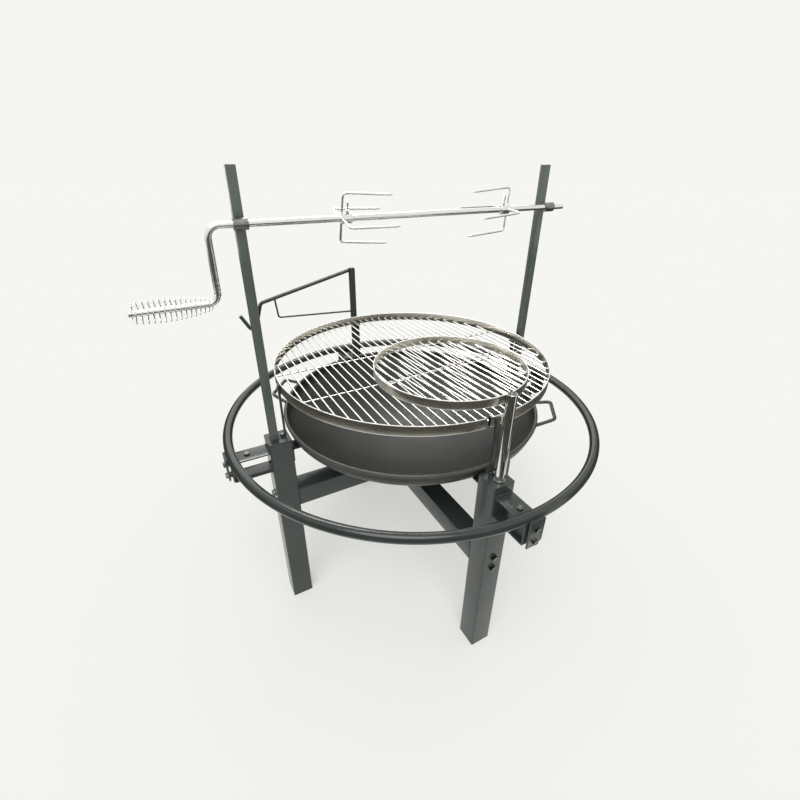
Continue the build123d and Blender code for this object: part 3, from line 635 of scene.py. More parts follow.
class Graph:
    """The node tree of a material or a world, with short calls that add and join nodes."""

    def __init__(self, owner):
        self.owner = owner
        owner.use_nodes = True
        self.tree = owner.node_tree

    def add(self, kind, inputs=None, **settings):
        node = self.tree.nodes.new("ShaderNode" + kind)
        for key, value in settings.items():
            setattr(node, key, value)
        for key, value in (inputs or {}).items():
            self.put(value, node.inputs[key])
        return node

    def put(self, value, socket):
        if isinstance(value, bpy.types.NodeSocket):
            self.tree.links.new(value, socket)
        else:
            socket.default_value = (*value, 1) if socket.type == "RGBA" else value

    def math(self, operation, first, second=0.0):
        return self.add("Math", {0: first, 1: second}, operation=operation).outputs[0]

    def times(self, first, second):
        return self.math("MULTIPLY", first, second)

    def plus(self, first, second):
        return self.math("ADD", first, second)

    def minus(self, first, second):
        return self.math("SUBTRACT", first, second)

    def place(self):
        """The piece's own coordinates."""
        return self.add("TexCoord").outputs["Object"]

    def stretched(self, scale):
        return self.add("Mapping", {"Vector": self.place(), "Scale": scale}).outputs[0]

    def noise(self, scale, detail=3.0, roughness=0.5, vector=None):
        values = {"Vector": vector or self.place(), "Scale": scale, "Detail": detail}
        return self.add("TexNoise", {**values, "Roughness": roughness}).outputs["Fac"]

    def span(self, value, low, high, to_low=0.0, to_high=1.0):
        """A value carried from one range to another, held inside it."""
        values = (value, low, high, to_low, to_high)
        return self.add("MapRange", dict(enumerate(values))).outputs[0]

    def blend(self, share, first, second):
        return self.add("Mix", {0: share, 6: first, 7: second}, data_type="RGBA").outputs[2]

    def bump(self, height, distance, normal=None):
        inputs = {"Height": height, "Distance": distance, "Strength": 1.0}
        if normal:
            inputs["Normal"] = normal
        return self.add("Bump", inputs).outputs[0]

    def seen(self):
        """1 for what the camera, metal and glass show, 0 for light on the object."""
        path = self.add("LightPath").outputs
        share = self.math("MAXIMUM", path["Is Camera Ray"], path["Is Glossy Ray"])
        return self.math("MAXIMUM", share, path["Is Transmission Ray"])

    def output(self, shader):
        """Shows a shader on the material's or world's surface."""
        name = "Material Output" if isinstance(self.owner, bpy.types.Material) else "World Output"
        self.put(shader.outputs[0], self.tree.nodes[name].inputs["Surface"])

    def set(self, **values):
        names = {
            "colour": "Base Color",
            "roughness": "Roughness",
            "metallic": "Metallic",
            "normal": "Normal",
            "specular": "Specular IOR Level",
        }
        for key, value in values.items():
            self.put(value, self.tree.nodes["Principled BSDF"].inputs[names[key]])
        return self.owner


def graph(name):
    """A new material's node tree."""
    return Graph(bpy.data.materials.new(name))


def powder_coat(name, slot, dark, light, rough, peel=0.00004, specular=0.5, rim=None):
    """Baked powder coat: orange peel, faint mottling, pale dust, and above a height a glossier rim whose
    colour is lightened as a painted highlight.
    """
    g = graph(name)
    dust = g.span(g.noise(260, 6, 0.7), 0.62, 0.74)
    colour = g.blend(g.span(g.noise(9, 4), 0.3, 0.7), dark, light)
    pale = tuple(min(1, c * 2.1 + 0.012) for c in light)
    colour = g.blend(g.times(dust, 0.35), colour, pale)
    gloss = g.plus(g.span(g.noise(55, 5, 0.6), 0.3, 0.7, *rough), g.times(dust, 0.12))
    if rim:
        height = g.add("SeparateXYZ", {0: g.place()}).outputs[2]
        # Painted highlight: near the rim bead the coat is made glossier and its colour is lightened.
        glossy_rim_painted_highlight = g.span(height, rim - 2 * bead_radius, rim - 1.6 * bead_radius)
        gloss = g.minus(gloss, g.times(glossy_rim_painted_highlight, 0.24))
        colour = g.blend(g.times(glossy_rim_painted_highlight, 0.6), colour, (0.1, 0.1, 0.092))
    normal = g.bump(g.noise(520), peel)
    normal = g.bump(g.noise(1400, 2), peel * 0.35, normal)
    return g.set(colour=colour, roughness=gloss, normal=normal, specular=specular), slot


def polished_steel(name, slot, light, dark, rough, streak):
    """Drawn or rolled bright steel, with fine streaks along its length."""
    g = graph(name)
    lines = g.noise(1, 4, 0.65, g.stretched(streak))
    print_marks = g.span(g.noise(70, 5, 0.7), 0.56, 0.7)
    colour = g.blend(g.span(lines, 0.25, 0.75), dark, light)
    gloss = g.plus(g.span(g.noise(18, 4, 0.6), 0.3, 0.7, *rough), g.times(print_marks, 0.08))
    normal = g.bump(lines, 0.000006)
    return g.set(colour=colour, roughness=gloss, metallic=1.0, normal=normal), slot


def wire_steel(name, way, offsets):
    """Bright grill wire, a little browned where it was spot welded to the cross wires."""
    g = graph(name)
    lines = g.noise(1, 4, 0.6, g.stretched((700, 9, 700)))
    smear = g.noise(25, 4)
    colour = g.blend(g.span(lines, 0.3, 0.7), (0.84, 0.83, 0.8), (0.95, 0.94, 0.92))
    along = g.add("VectorMath", {0: g.place(), 1: way}, operation="DOT_PRODUCT").outputs["Value"]
    burnt = 0.0
    for offset in offsets:
        near = g.span(g.math("ABSOLUTE", g.minus(along, offset)), 0.009, 0.002)
        burnt = g.math("MAXIMUM", burnt, near)
    burnt = g.times(burnt, g.span(smear, 0.3, 0.6, 0.25, 0.7))
    colour = g.blend(burnt, colour, (0.3, 0.235, 0.17))
    gloss = g.plus(g.span(smear, 0.3, 0.7, 0.14, 0.26), g.times(burnt, 0.2))
    normal = g.bump(lines, 0.000008)
    return g.set(colour=colour, roughness=gloss, metallic=1.0, normal=normal), "stainless"


def band_steel(name, node, slot=None):
    """Rolled steel band: streaks that run round it, top and bottom edges painted bright as a highlight,
    and a joint slot painted near black as shade.
    """
    g = graph(name)
    low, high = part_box(node)
    centre = middle_of(node)
    split = g.add("SeparateXYZ", {0: g.place()}).outputs
    x = g.minus(split[0], centre.x)
    y = g.minus(split[1], centre.y)
    radius = g.math("SQRT", g.plus(g.times(x, x), g.times(y, y)))
    rolled = (g.times(g.math("ARCTAN2", y, x), 6), g.times(radius, 300), g.times(split[2], 300))
    rolled = g.add("CombineXYZ", dict(enumerate(rolled))).outputs[0]
    lines = g.noise(1, 4, 0.6, rolled)
    colour = g.blend(g.span(lines, 0.3, 0.7), (0.66, 0.64, 0.57), (0.73, 0.71, 0.64))
    stain = g.times(g.span(g.noise(4.5), 0.45, 0.7), 0.3)
    colour = g.blend(stain, colour, (0.55, 0.5, 0.4))
    # Painted highlight: strips along the top and bottom edges are coloured near white, made rougher and
    # half dielectric.
    above = g.span(split[2], high.z - 2 * band_edge, high.z - band_edge)
    below = g.span(split[2], low.z + 2 * band_edge, low.z + band_edge)
    edge = g.math("MAXIMUM", above, below)
    colour = g.blend(edge, colour, (0.97, 0.96, 0.93))
    gloss = g.plus(g.span(g.noise(11, 5, 0.65), 0.3, 0.7, 0.24, 0.34), g.times(edge, 0.12))
    if slot:
        # Painted shade: at the joint, the folded ends and the slot between them are coloured near black
        # and made rougher.
        slot_x, slot_half, slot_y = slot
        inside = g.math("LESS_THAN", g.math("ABSOLUTE", g.minus(split[0], slot_x)), slot_half)
        inside = g.times(inside, g.math("GREATER_THAN", split[1], slot_y))
        inside = g.times(inside, g.math("LESS_THAN", split[1], centre.y))
        colour = g.blend(inside, colour, (0.05, 0.047, 0.04))
        gloss = g.math("MAXIMUM", gloss, g.times(inside, 0.55))
    metal = g.minus(1.0, g.times(edge, 0.5))
    normal = g.bump(lines, 0.000004)
    return g.set(colour=colour, roughness=gloss, metallic=metal, normal=normal), "stainless"


def plated(name, slot, light, dark, rough, tint):
    """Zinc or oxide plate: faint colour clouds over fine grain."""
    g = graph(name)
    cloud = g.noise(90, 5, 0.65)
    colour = g.blend(g.span(cloud, 0.35, 0.65), dark, light)
    colour = g.blend(g.times(g.span(g.noise(40), 0.45, 0.7), 0.4), colour, tint)
    gloss = g.span(cloud, 0.3, 0.7, *rough)
    normal = g.bump(g.noise(1800, 2), 0.000008)
    return g.set(colour=colour, roughness=gloss, metallic=1.0, normal=normal), slot


def floor_material():
    """Pale seamless floor with a very faint mottle."""
    g = graph("floor_pale")
    darker = tuple(c * 0.985 for c in floor_colour)
    colour = g.blend(g.noise(1.4), darker, floor_colour)
    glow = g.add("Emission", {"Color": floor_glow_colour, "Strength": 1.0})
    shader = g.tree.nodes["Principled BSDF"]
    share = g.times(g.seen(), floor_glow)
    g.output(g.add("MixShader", {0: share, 1: shader.outputs[0], 2: glow.outputs[0]}))
    return g.set(colour=colour, roughness=0.9, specular=0.1)


# Finishes, each a material and its slot
black = powder_coat(
    "black_coat", "black_coat", (0.034, 0.045, 0.04), (0.048, 0.061, 0.055), (0.15, 0.25)
)
# Painted shade: the foot ring's coat is a slightly darker copy of the black coat, as well as glossier
# and finer in peel.
ring_black_painted_shade = powder_coat(
    "ring_coat_painted_shade", "black_coat", (0.032, 0.04, 0.036), (0.045, 0.055, 0.05), (0.12, 0.19), peel=0.00002
)
# Painted light: the spit posts get a much lighter copy of the black coat, standing in for the light they
# catch.
post_black_painted_light = powder_coat(
    "post_coat_painted_light", "black_coat", (0.09, 0.108, 0.1), (0.118, 0.138, 0.13), (0.15, 0.25)
)
bowl_black = powder_coat(
    "bowl_coat", "bowl_coat", (0.025, 0.028, 0.024), (0.038, 0.041, 0.034), (0.32, 0.46),
    peel=0.00005, specular=0.32, rim=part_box("fire_bowl")[1].z,
)
zinc = plated(
    "bright_zinc", "bright_zinc", (0.24, 0.24, 0.235), (0.13, 0.13, 0.127), (0.14, 0.24),
    (0.2, 0.19, 0.15),
)
dark_steel = plated(
    "dark_steel", "dark_steel", (0.3, 0.3, 0.29), (0.2, 0.2, 0.195), (0.28, 0.42), (0.24, 0.21, 0.17)
)
chrome_spit = polished_steel(
    "chrome_spit", "chrome", (0.88, 0.88, 0.87), (0.78, 0.78, 0.78), (0.18, 0.28), (14, 900, 900)
)
chrome = polished_steel(
    "chrome_small", "chrome", (0.88, 0.88, 0.87), (0.78, 0.78, 0.78), (0.07, 0.15), (500, 500, 500)
)
chrome_sleeve = polished_steel(
    "chrome_sleeve", "chrome", (0.86, 0.86, 0.84), (0.76, 0.76, 0.75), (0.06, 0.13), (900, 900, 14)
)
joint_slot = (pit.x - grill_wire_pitch, joint_width / 2 + slot_margin, grill_low.y + slot_depth)
band = band_steel("stainless_band", "grill_band", joint_slot)
side_band = band_steel("stainless_side_band", "side_grill_band")
cross_lines = (pit.y - grill_cross_offset, pit.y + grill_cross_offset)
wire = wire_steel("stainless_wire", (0, 1, 0), cross_lines)
side_wire = wire_steel(
    "stainless_side_wire", side_way, (side_centre.dot(side_way) + side_cross_offset,)
)
cross_wire = polished_steel(
    "stainless_cross", "stainless", (0.93, 0.92, 0.9), (0.8, 0.79, 0.77), (0.14, 0.26), (9, 700, 700)
)
cast_wing = plated(
    "cast_wings", "chrome", (0.74, 0.74, 0.72), (0.56, 0.56, 0.55), (0.24, 0.36), (0.6, 0.58, 0.52)
)

slot_finishes = (black, bowl_black, zinc, dark_steel, cross_wire, chrome)
slot_materials = {slot: material for material, slot in slot_finishes}
node_slots = {row["node"]: row["material_slot"] for row in frame["record"]["subparts"]}
for node, cad_object in frame["nodes"].items():
    cad_object.data.materials.clear()
    cad_object.data.materials.append(slot_materials[node_slots[node]])


def piece(name, shape, finish, node=None, body="root", sharp=32):
    """Makes an object of a shape, rides it on a body and lets it stand for a CAD node."""
    material, slot = finish
    mesh = bpy.data.meshes.new(name)
    mesh.from_pydata([tuple(v) for v in shape[0]], [], shape[1])
    mesh.validate()
    mesh.update()
    mesh.shade_smooth()
    mesh.set_sharp_from_angle(angle=radians(sharp))
    mesh.materials.append(material)
    made = bpy.data.objects.new(name, mesh)
    bpy.context.scene.collection.objects.link(made)
    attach(made, body)
    if node:
        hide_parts(node)


# Legs, caps, foot plates and beams
plate_section = rounded_rectangle(leg_width, leg_width, plate_corner)
caps, feet = [], []
for side, angle in side_angles.items():
    foot = place_at(angle, leg_centre, plate_thickness)
    head = place_at(angle, leg_centre, leg_top - plate_thickness)
    piece(f"leg_tube_{side}", square_tube(foot, head), black, f"leg_{side}")
    rise = upward * plate_thickness
    caps.append(bar(head, head + rise, plate_section, leg_width / 2))
    feet.append(bar(foot - rise, foot, plate_section, leg_width / 2))
piece("leg_cap_plates", join(caps), black, "leg_caps")
piece("leg_foot_plates", join(feet), black, "foot_plates")

for node in ("beam_upper", "beam_lower"):
    low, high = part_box(node)
    reach = (high - low) / 2
    long_way = Vector((reach.x, 0, 0)) if reach.x > reach.y else Vector((0, reach.y, 0))
    middle = middle_of(node)
    piece(f"{node}_tube", square_tube(middle - long_way, middle + long_way), black, node)

# Bolts that hold the beams to the legs
heads, washers, nuts = [], [], []
head_face = leg_outer + leg_washer_thickness
nut_face = leg_inner - beam_plate_thickness - leg_nut_height
leg_washer = ring_plate(leg_washer_radius, leg_bolt[0], -leg_washer_thickness, 0)
for side, angle in side_angles.items():
    for step in (-1, 1):
        height = middle_of(beams[side]).z + step * leg_bolt_pitch / 2
        turn = spun(17 * step + angle / 3)
        seat = outward_seat(angle, head_face, height)
        heads.append(bolt(leg_bolt, nut_face - leg_bolt_tail - head_face, seat @ turn))
        washers.append(moved(leg_washer, seat))
        nuts.append(nut(leg_bolt, leg_nut_height, outward_seat(angle, nut_face, height) @ turn))
piece("leg_bolt_heads", join(heads), zinc, "leg_bolts", sharp=25)
piece("leg_bolt_washers", join(washers), zinc, "leg_washers")
piece("leg_bolt_nuts", join(nuts), dark_steel, "leg_nuts", sharp=25)

# Ring arms, bent from flat strap
upper, lower = arm_high.z - arm_strap / 2, arm_low.z + arm_strap / 2
end = arm_end - arm_strap / 2
stations = ((leg_outer, upper), (end, upper), (end, lower), (leg_outer, lower))
arm_tail = -arm_strap - arm_nut_height - arm_bolt_tail
nut_level = arm_high.z - arm_strap - arm_nut_height
heads, nuts = [], []
for side, angle in side_angles.items():
    shape = bent_strap(angle, stations, arm_bend - arm_strap / 2, arm_strap, arm_width)
    piece(f"ring_arm_strap_{side}", shape, black, f"ring_arm_{side}")
    turn = spun(11 + angle / 4)
    heads.append(bolt(arm_bolt, arm_tail, upright_seat(angle, arm_bolt_reach, arm_high.z) @ turn))
    seat = upright_seat(angle, arm_bolt_reach, nut_level)
    nuts.append(nut(arm_bolt, arm_nut_height, seat @ turn))
piece("arm_bolt_heads", join(heads), zinc, "arm_bolts", sharp=25)
piece("arm_bolt_nuts", join(nuts), dark_steel, "arm_nuts", sharp=25)

# Foot ring
ring_height = (ring_low.z + ring_high.z) / 2
ring_points = [place_at(360 * i / ring_steps, ring_radius, ring_height) for i in range(ring_steps)]
ring_shape = sweep(ring_points, circle(ring_tube, 28), closed=True, normal=upward)
piece("foot_ring_tube", ring_shape, ring_black_painted_shade, "foot_ring")

# Tabs with one cut corner, their spacers, bolts and nuts
tab_edge = [
    v.co for v in frame["nodes"]["ring_tabs"].data.vertices
    if v.co.x > pit.x + tab_inner and abs(v.co.z - tab_high.z) < edge_round
]
tab_half = min(abs(corner.y - pit.y) for corner in tab_edge)


def tab_plate():
    """Upright plate on the XY plane, its top edge at zero height, one lower corner cut."""
    middle = (tab_high.z - tab_low.z) / 2
    cut = tab_half - tab_corner
    outline = [
        (-tab_half, middle), (-tab_half, -middle), (cut, -middle), (tab_half, tab_corner - middle),
        (tab_half, middle),
    ]
    loops = []
    for height, inset in (
        (0, edge_round), (edge_round, 0), (tab_thickness - edge_round, 0), (tab_thickness, edge_round)
    ):
        share = 1 - inset / tab_half
        loops.append([Vector((x * share, y * share - middle, height)) for x, y in outline])
    return skin(loops)


tabs, spacers, heads, nuts = [], [], [], []
nut_face = arm_end - arm_strap - arm_nut_height
spacer = ring_plate(spacer_radius, arm_bolt[0], 0, tab_inner - arm_end)
for angle in side_angles.values():
    tabs.append(moved(tab_plate(), outward_seat(angle, tab_inner, tab_high.z)))
    for step in (-1, 1):
        height = arm_middle + step * tab_bolt_pitch / 2
        turn = spun(23 * step + angle / 5)
        seat = outward_seat(angle, tab_outer, height)
        heads.append(bolt(arm_bolt, nut_face - arm_bolt_tail - tab_outer, seat @ turn))
        spacers.append(moved(spacer, outward_seat(angle, arm_end, height)))
        nuts.append(nut(arm_bolt, arm_nut_height, outward_seat(angle, nut_face, height) @ turn))
piece("ring_tab_plates", join(tabs), black, "ring_tabs")
piece("tab_bolt_heads", join(heads), zinc, "tab_bolts", sharp=25)
piece("tab_bolt_spacers", join(spacers), dark_steel, "tab_spacers")
piece("tab_bolt_nuts", join(nuts), dark_steel, "tab_nuts", sharp=25)

# Fire bowl
bowl_floor, rim_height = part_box("fire_bowl")[0].z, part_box("fire_bowl")[1].z
bowl_radius = radius_of("fire_bowl") - bead_radius + bowl_wall / 2
knuckle_height = rim_height - bowl_flange
knuckle_radius = bowl_radius - bowl_knuckle
knuckle_depth = knuckle_height - bowl_floor
crown_radius = (knuckle_radius**2 + knuckle_depth**2 - bowl_knuckle**2) / (
    2 * (knuckle_depth - bowl_knuckle)
)
crown_height = bowl_floor + crown_radius
crown_angle = atan2(knuckle_radius, crown_height - knuckle_height)


def bowl_side(inset):
    """Points of the bowl's profile from its middle to its wall, moved inward."""
    points = []
    reach = crown_radius - inset
    for i in range(crown_steps + 1):
        turn = crown_angle * i / crown_steps
        points.append((reach * sin(turn), crown_height - reach * cos(turn)))
    reach = bowl_knuckle - inset
    for i in range(1, knuckle_steps + 1):
        turn = crown_angle + (pi / 2 - crown_angle) * i / knuckle_steps
        points.append((knuckle_radius + reach * sin(turn), knuckle_height - reach * cos(turn)))
    return points


bead_points = []
for i in range(bead_steps + 1):
    turn = radians(-75 + 330 * i / bead_steps)
    bead_points.append(
        (bowl_radius - bowl_wall / 2 + bead_radius * cos(turn),
         rim_height - bead_radius + bead_radius * sin(turn))
    )
bowl_profile = bowl_side(0) + bead_points + list(reversed(bowl_side(bowl_wall)))
bowl_shape = moved(lathe(bowl_profile, bowl_steps), Matrix.Translation(pit))
piece("fire_bowl_shell", bowl_shape, bowl_black, "fire_bowl")

# Twisted handles of the bowl
handle_section = rounded_rectangle(handle_bar, handle_bar, handle_bar_corner, steps=2)
wall_drop = bowl_radius - sqrt(bowl_radius**2 - handle_root_half**2) + handle_inset
beads = []
for side, angle in handle_angles.items():
    along = outward(angle) * cos(handle_tilt) + upward * sin(handle_tilt)
    across = outward(angle + 90)
    root = place_at(angle, bowl_radius, rim_height - handle_root_drop)
    corners = [
        root - along * wall_drop - across * handle_root_half,
        root + along * handle_reach - across * handle_outer_half,
        root + along * handle_reach + across * handle_outer_half,
        root - along * wall_drop + across * handle_root_half,
    ]
    shape = sweep(
        fine_line(rounded_path(corners, [handle_bend] * 2), handle_step),
        handle_section,
        normal=along.cross(across),
        turn=lambda length: 2 * pi * length / handle_twist_pitch,
    )
    piece(f"bowl_handle_bar_{side}", shape, black, f"bowl_handle_{side}", sharp=50)
    for seed, corner in ((1, corners[0]), (2, corners[3])):
        beads.append(
            weld_round(corner, along, handle_weld_circle, handle_weld, seed, handle_weld_lift)
        )
piece("handle_welds", join(beads), black)

# Angle brackets under the bowl
rest_low, rest_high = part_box("bowl_rests")
level, wall = rest_high.z - rest_thickness / 2, leg_inner - rest_thickness / 2
stations = ((leg_inner - rest_reach, level), (wall, level), (wall, rest_low.z))
rests = [
    bent_strap(angle, stations, rest_bend, rest_thickness, rest_width)
    for angle in side_angles.values()
]
piece("bowl_rest_brackets", join(rests), black, "bowl_rests")

# Supports of the main grill
support_low, support_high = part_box("grill_support_right")
support_width = support_high.y - support_low.y
support_outer = support_high.x - pit.x
lip_section = strap_section(support_thickness, support_width)
support_middle = support_outer - support_foot - support_thickness / 2
foot_level = leg_top + support_thickness / 2
stations = (
    (support_outer, foot_level), (support_middle, foot_level), (support_middle, support_high.z)
)
lip_tip, lip_height = support_low.x - pit.x, grill_low.z - support_thickness / 2
support_tail = -support_thickness - plate_thickness - 2 * support_bolt[2]
heads = []
for side, angle in side_angles.items():
    upright = bent_strap(angle, stations, support_bend, support_thickness, support_width)
    start, end = (place_at(angle, reach, lip_height) for reach in (lip_tip, support_middle))
    lip = bar(start, end, lip_section, support_width / 2, normal=upward)
    piece(f"support_strap_{side}", join([upright, lip]), black, f"grill_support_{side}")
    seat = upright_seat(angle, support_outer - support_foot / 2, leg_top + support_thickness)
    heads.append(bolt(support_bolt, support_tail, seat))
piece("support_bolt_heads", join(heads), zinc, "support_bolts", sharp=25)

# Band of the main grill, its ends folded inward at the joint
fold_reach = joint_width / 2 + band_thickness / 2
first, last = (
    degrees(acos((step * fold_reach - grill_wire_pitch) / grill_radius)) for step in (1, -1)
)
arc = []
for i in range(band_steps + 1):
    angle = -first + (360 - last + first) * i / band_steps
    arc.append(place_at(angle, grill_radius - band_thickness / 2, (grill_low.z + grill_high.z) / 2))
bend, fold = Vector((0, joint_bend, 0)), Vector((0, joint_fold, 0))
band_points = [arc[0] + fold, arc[0] + bend] + arc[1:-1] + [arc[-1] + bend, arc[-1] + fold]
band_section = rounded_rectangle(grill_high.z - grill_low.z, band_thickness, band_corner, steps=3)
piece("grill_band_strip", sweep(band_points, band_section, normal=upward), band, "grill_band")


def wire_rod(start, end, seed):
    """A drawn wire, not quite straight."""
    points = []
    for i in range(wire_steps + 1):
        share = i / wire_steps
        wave = wire_wave * sin(pi * share)
        side = noise.noise(Vector((share * 3, seed * 1.7, 0.3))) * wave
        rise = noise.noise(Vector((share * 3, seed * 1.7, 9.1))) * wave * 0.6
        points.append(start.lerp(end, share) + Vector((side, side * 0.3, rise)))
    return sweep(points, circle(wire_radius, wire_sides))


def wire_rows(middle, along, inner, pitch, count, first_seed, weld):
    """Wires side by side across a round band, and the welds at their ends."""
    wires, beads = [], []
    for i in range(count):
        offset = (i - (count - 1) / 2) * pitch
        half = along * sqrt(inner**2 - offset**2)
        point = middle + along.cross(upward) * offset
        wires.append(wire_rod(point - half, point + half, first_seed + i))
        for end, way in ((point - half, along), (point + half, -along)):
            beads.append(weld_round(end, way, wire_radius * 0.9, weld, i, wire_weld_lift))
    return join(wires), join(beads)


def cross_rod(middle, along, inner, offset, seed):
    """A wire across the others, at an offset from the band's middle."""
    half = along.cross(upward) * sqrt(inner**2 - offset**2)
    point = middle + along * offset
    return wire_rod(point - half, point + half, seed)


# Wires of the main grill
grill_inner = grill_radius - band_thickness
grill_way = Vector((0, 1, 0))
middle = pit + upward * (grill_low.z + grill_wire_rise)
wires, beads = wire_rows(
    middle, grill_way, grill_inner, grill_wire_pitch, grill_wire_count, 0, wire_weld
)
piece("grill_wire_rods", wires, wire, "grill_wires", sharp=60)
piece("grill_wire_welds", beads, wire)
middle = pit + upward * (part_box("grill_cross_wires")[0].z + wire_radius)
rods = [
    cross_rod(middle, grill_way, grill_inner, step * grill_cross_offset, 60 + step)
    for step in (-1, 1)
]
piece("grill_cross_rods", join(rods), cross_wire, "grill_cross_wires", sharp=60)

# Round-head screws that hold the band to its supports
dome = [(0, 0), (screw_head_radius, 0)]
for i in range(8):
    turn = pi / 2 * i / 8
    dome.append((screw_head_radius * cos(turn), screw_head * (0.35 + 0.65 * sin(turn))))
dome += [(0.0016, screw_head * 0.99), (0.0013, screw_head * 0.5), (0, screw_head * 0.45)]
face = support_middle + support_thickness / 2
tail = grill_inner - face - screw_nut[2] - screw_tail
screw = join([lathe(dome, 32), shank(screw_nut[0], tail, 0)])
screws, nuts = [], []
for angle in side_angles.values():
    height = grill_low.z + screw_rise
    screws.append(moved(screw, outward_seat(angle, face, height)))
    nuts.append(nut(screw_nut, screw_nut[2], outward_seat(angle, grill_inner - screw_nut[2], height)))
piece("grill_screw_heads", join(screws), zinc, "grill_screws", sharp=40)
piece("grill_screw_nuts", join(nuts), dark_steel, "grill_nuts", sharp=25)

# Spit posts and their bushes
beads, bushes = [], []
for side in ("left", "right"):
    low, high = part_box(f"post_{side}")
    half = radius_of(f"post_{side}")
    section = rounded_rectangle(2 * half, 2 * half, post_corner, steps=3)
    foot = axis_of(f"post_{side}") + upward * low.z
    shape = bar(foot, foot + upward * (high.z - low.z), section, half)
    piece(f"spit_post_{side}", shape, post_black_painted_light, f"post_{side}")
    corner = half + post_weld_gap
    outline = ((-corner, -corner), (corner, -corner), (corner, corner), (-corner, corner))
    points = [foot + Vector((x, y, post_weld_rise)) for x, y in outline]
    beads.append(weld_bead(points, post_weld, 3, closed=True))
bush_low, bush_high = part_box("spit_bushes")
bush_radius = (bush_high.z - bush_low.z) / 2
spit_front, spit_height = middle_of("spit_bushes").yz
rod_low, rod_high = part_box("spit_rod")
spit_radius = rod_high.z - spit_height
bush = ring_plate(bush_radius, spit_radius + bush_gap, 0, bush_length, turned_edge)
for low_x in (bush_low.x, bush_high.x - bush_length):
    seat = facing(Vector((low_x, spit_front, spit_height)), Vector((1, 0, 0)))
    bushes.append(moved(bush, seat))
    for step in (-1, 1):
        line = []
        for i in range(7):
            x = low_x + bush_weld_start + i * bush_weld_step
            y = spit_front + bush_radius - bush_weld_sink
            line.append(Vector((x, y, spit_height + step * bush_weld_half)))
        beads.append(weld_bead(line, bush_weld, low_x * 7 + step))
piece("spit_bush_tubes", join(bushes), dark_steel, "spit_bushes")
piece("post_welds", join(beads), black)

# Spit with its crank, bent from one bar
grip_front = spit_front + crank_arm * sin(crank_lean)
grip_height = spit_height - crank_arm * cos(crank_lean)
crank_elbow = pit.x - (rod_high.x - pit.x)
spit_corners = [
    Vector((rod_high.x, spit_front, spit_height)),
    Vector((crank_elbow, spit_front, spit_height)),
    Vector((crank_elbow, grip_front, grip_height)),
    Vector((rod_low.x, grip_front, grip_height)),
]
spit_path = rounded_path(spit_corners, [crank_bend] * 2)
spit_path.insert(1, spit_path[0] - Vector((spit_chamfer, 0, 0)))
spit_path.insert(-1, spit_path[-1] + Vector((spit_chamfer, 0, 0)))
spit_ends = broken_ends(path_length(spit_path), spit_chamfer, 0.7)
spit_shape = sweep(spit_path, circle(spit_radius, 32), scale=spit_ends)
piece("spit_bar", spit_shape, chrome_spit, "spit_rod", "spit")


# Coil grip, one wire wound round the crank's handle
def coil_radius(share):
    """Radius of the coil's turns at a share of its length."""
    if share < coil_widest_share:
        fall = (coil_widest_share - share) / coil_widest_share
        return coil_widest_radius - (coil_widest_radius - coil_root_radius) * fall**2
    fall = (share - coil_widest_share) / (1 - coil_widest_share)
    return coil_widest_radius - (coil_widest_radius - coil_outer_radius) * fall**2


def coil_point(turns):
    """Point of the coil's line after a number of turns, on a lead to the rod at both ends."""
    share = min(max(turns / coil_turns, 0), 1)
    x = crank_elbow - coil_start_gap
    x -= coil_length * (coil_even_share * share + (1 - coil_even_share) * share**2)
    radius = coil_radius(share)
    before, after = max(0, -turns), max(0, turns - coil_turns)
    ease = 0.5 - 0.5 * cos(pi * min(1, before + after))
    radius += (spit_radius + coil_wire_radius - radius) * ease
    x += before * coil_lead_in - after * coil_lead_out
    angle = 2 * pi * turns
    return Vector((x, grip_front + radius * cos(angle), grip_height + radius * sin(angle)))


first, last = ceil(-coil_lead_turns * coil_samples), (coil_turns + 1) * coil_samples
coil_points = [coil_point(i / coil_samples) for i in range(first, last + 1)]
coil_shape = sweep(coil_points, circle(coil_wire_radius, 10))
piece("coil_grip_wire", coil_shape, chrome, "coil_grip", "spit", sharp=60)


# Forks and thumbscrews
def prong_shape(origin, axis, spoke, reach, droop):
    """A bent prong with a rounded point, out along a spoke and then ahead with a droop."""
    bend = origin + spoke * prong_radius
    ahead = axis * cos(radians(droop)) - upward * sin(radians(droop))
    root = origin + spoke * (collar_radius - prong_root)
    path = rounded_path([root, bend, bend + ahead * (reach - prong_point)], [prong_bend])
    path += [bend + ahead * (reach - prong_point * share) for share in (0.75, 0.5, 0.25, 0.08, 0.02, 0)]
    total = path_length(path)

    def point_taper(length):
        share = min(1, max(0, (total - length) / prong_point)) ** 0.5
        return prong_tip_radius / prong_bar_radius * (1 - share) + share

    return sweep(path, circle(prong_bar_radius, 16), scale=point_taper, normal=axis)


def fork_shape(origin, axis, lean, reach, droops):
    """Collar and four prongs of one fork, and the welds where they meet."""
    low = -collar_back
    collar = ring_plate(
        collar_radius, spit_radius + collar_gap, low, low + collar_length, turned_edge
    )
    shapes, beads = [moved(collar, facing(origin, axis))], []
    for quarter, droop in enumerate(droops):
        spoke = Quaternion(axis, pi / 2 * quarter) @ lean
        shapes.append(prong_shape(origin, axis, spoke, reach, droop))
        root = origin + spoke * collar_radius
        beads.append(weld_round(root, spoke, prong_bar_radius, fork_weld, quarter))
    return join(shapes), join(beads)


def thumb_ear(base, ear):
    """One rounded ear of a thumbscrew's wing."""
    loops = []
    for height_share, width_share in thumb_ear_outline:
        half = thumb_ear_half * width_share
        lean = ear * (thumb_ear_gap + thumb_ear_spread * max(0, height_share))
        corner = min(thumb_wing_thickness, half) / 2 * 0.98
        section = rounded_rectangle(2 * half, thumb_wing_thickness, corner)
        height = base + thumb_wing_height * height_share
        loops.append([Vector((u + lean, v, height)) for u, v in section])
    return moved(skin(loops), spun(thumb_turn))


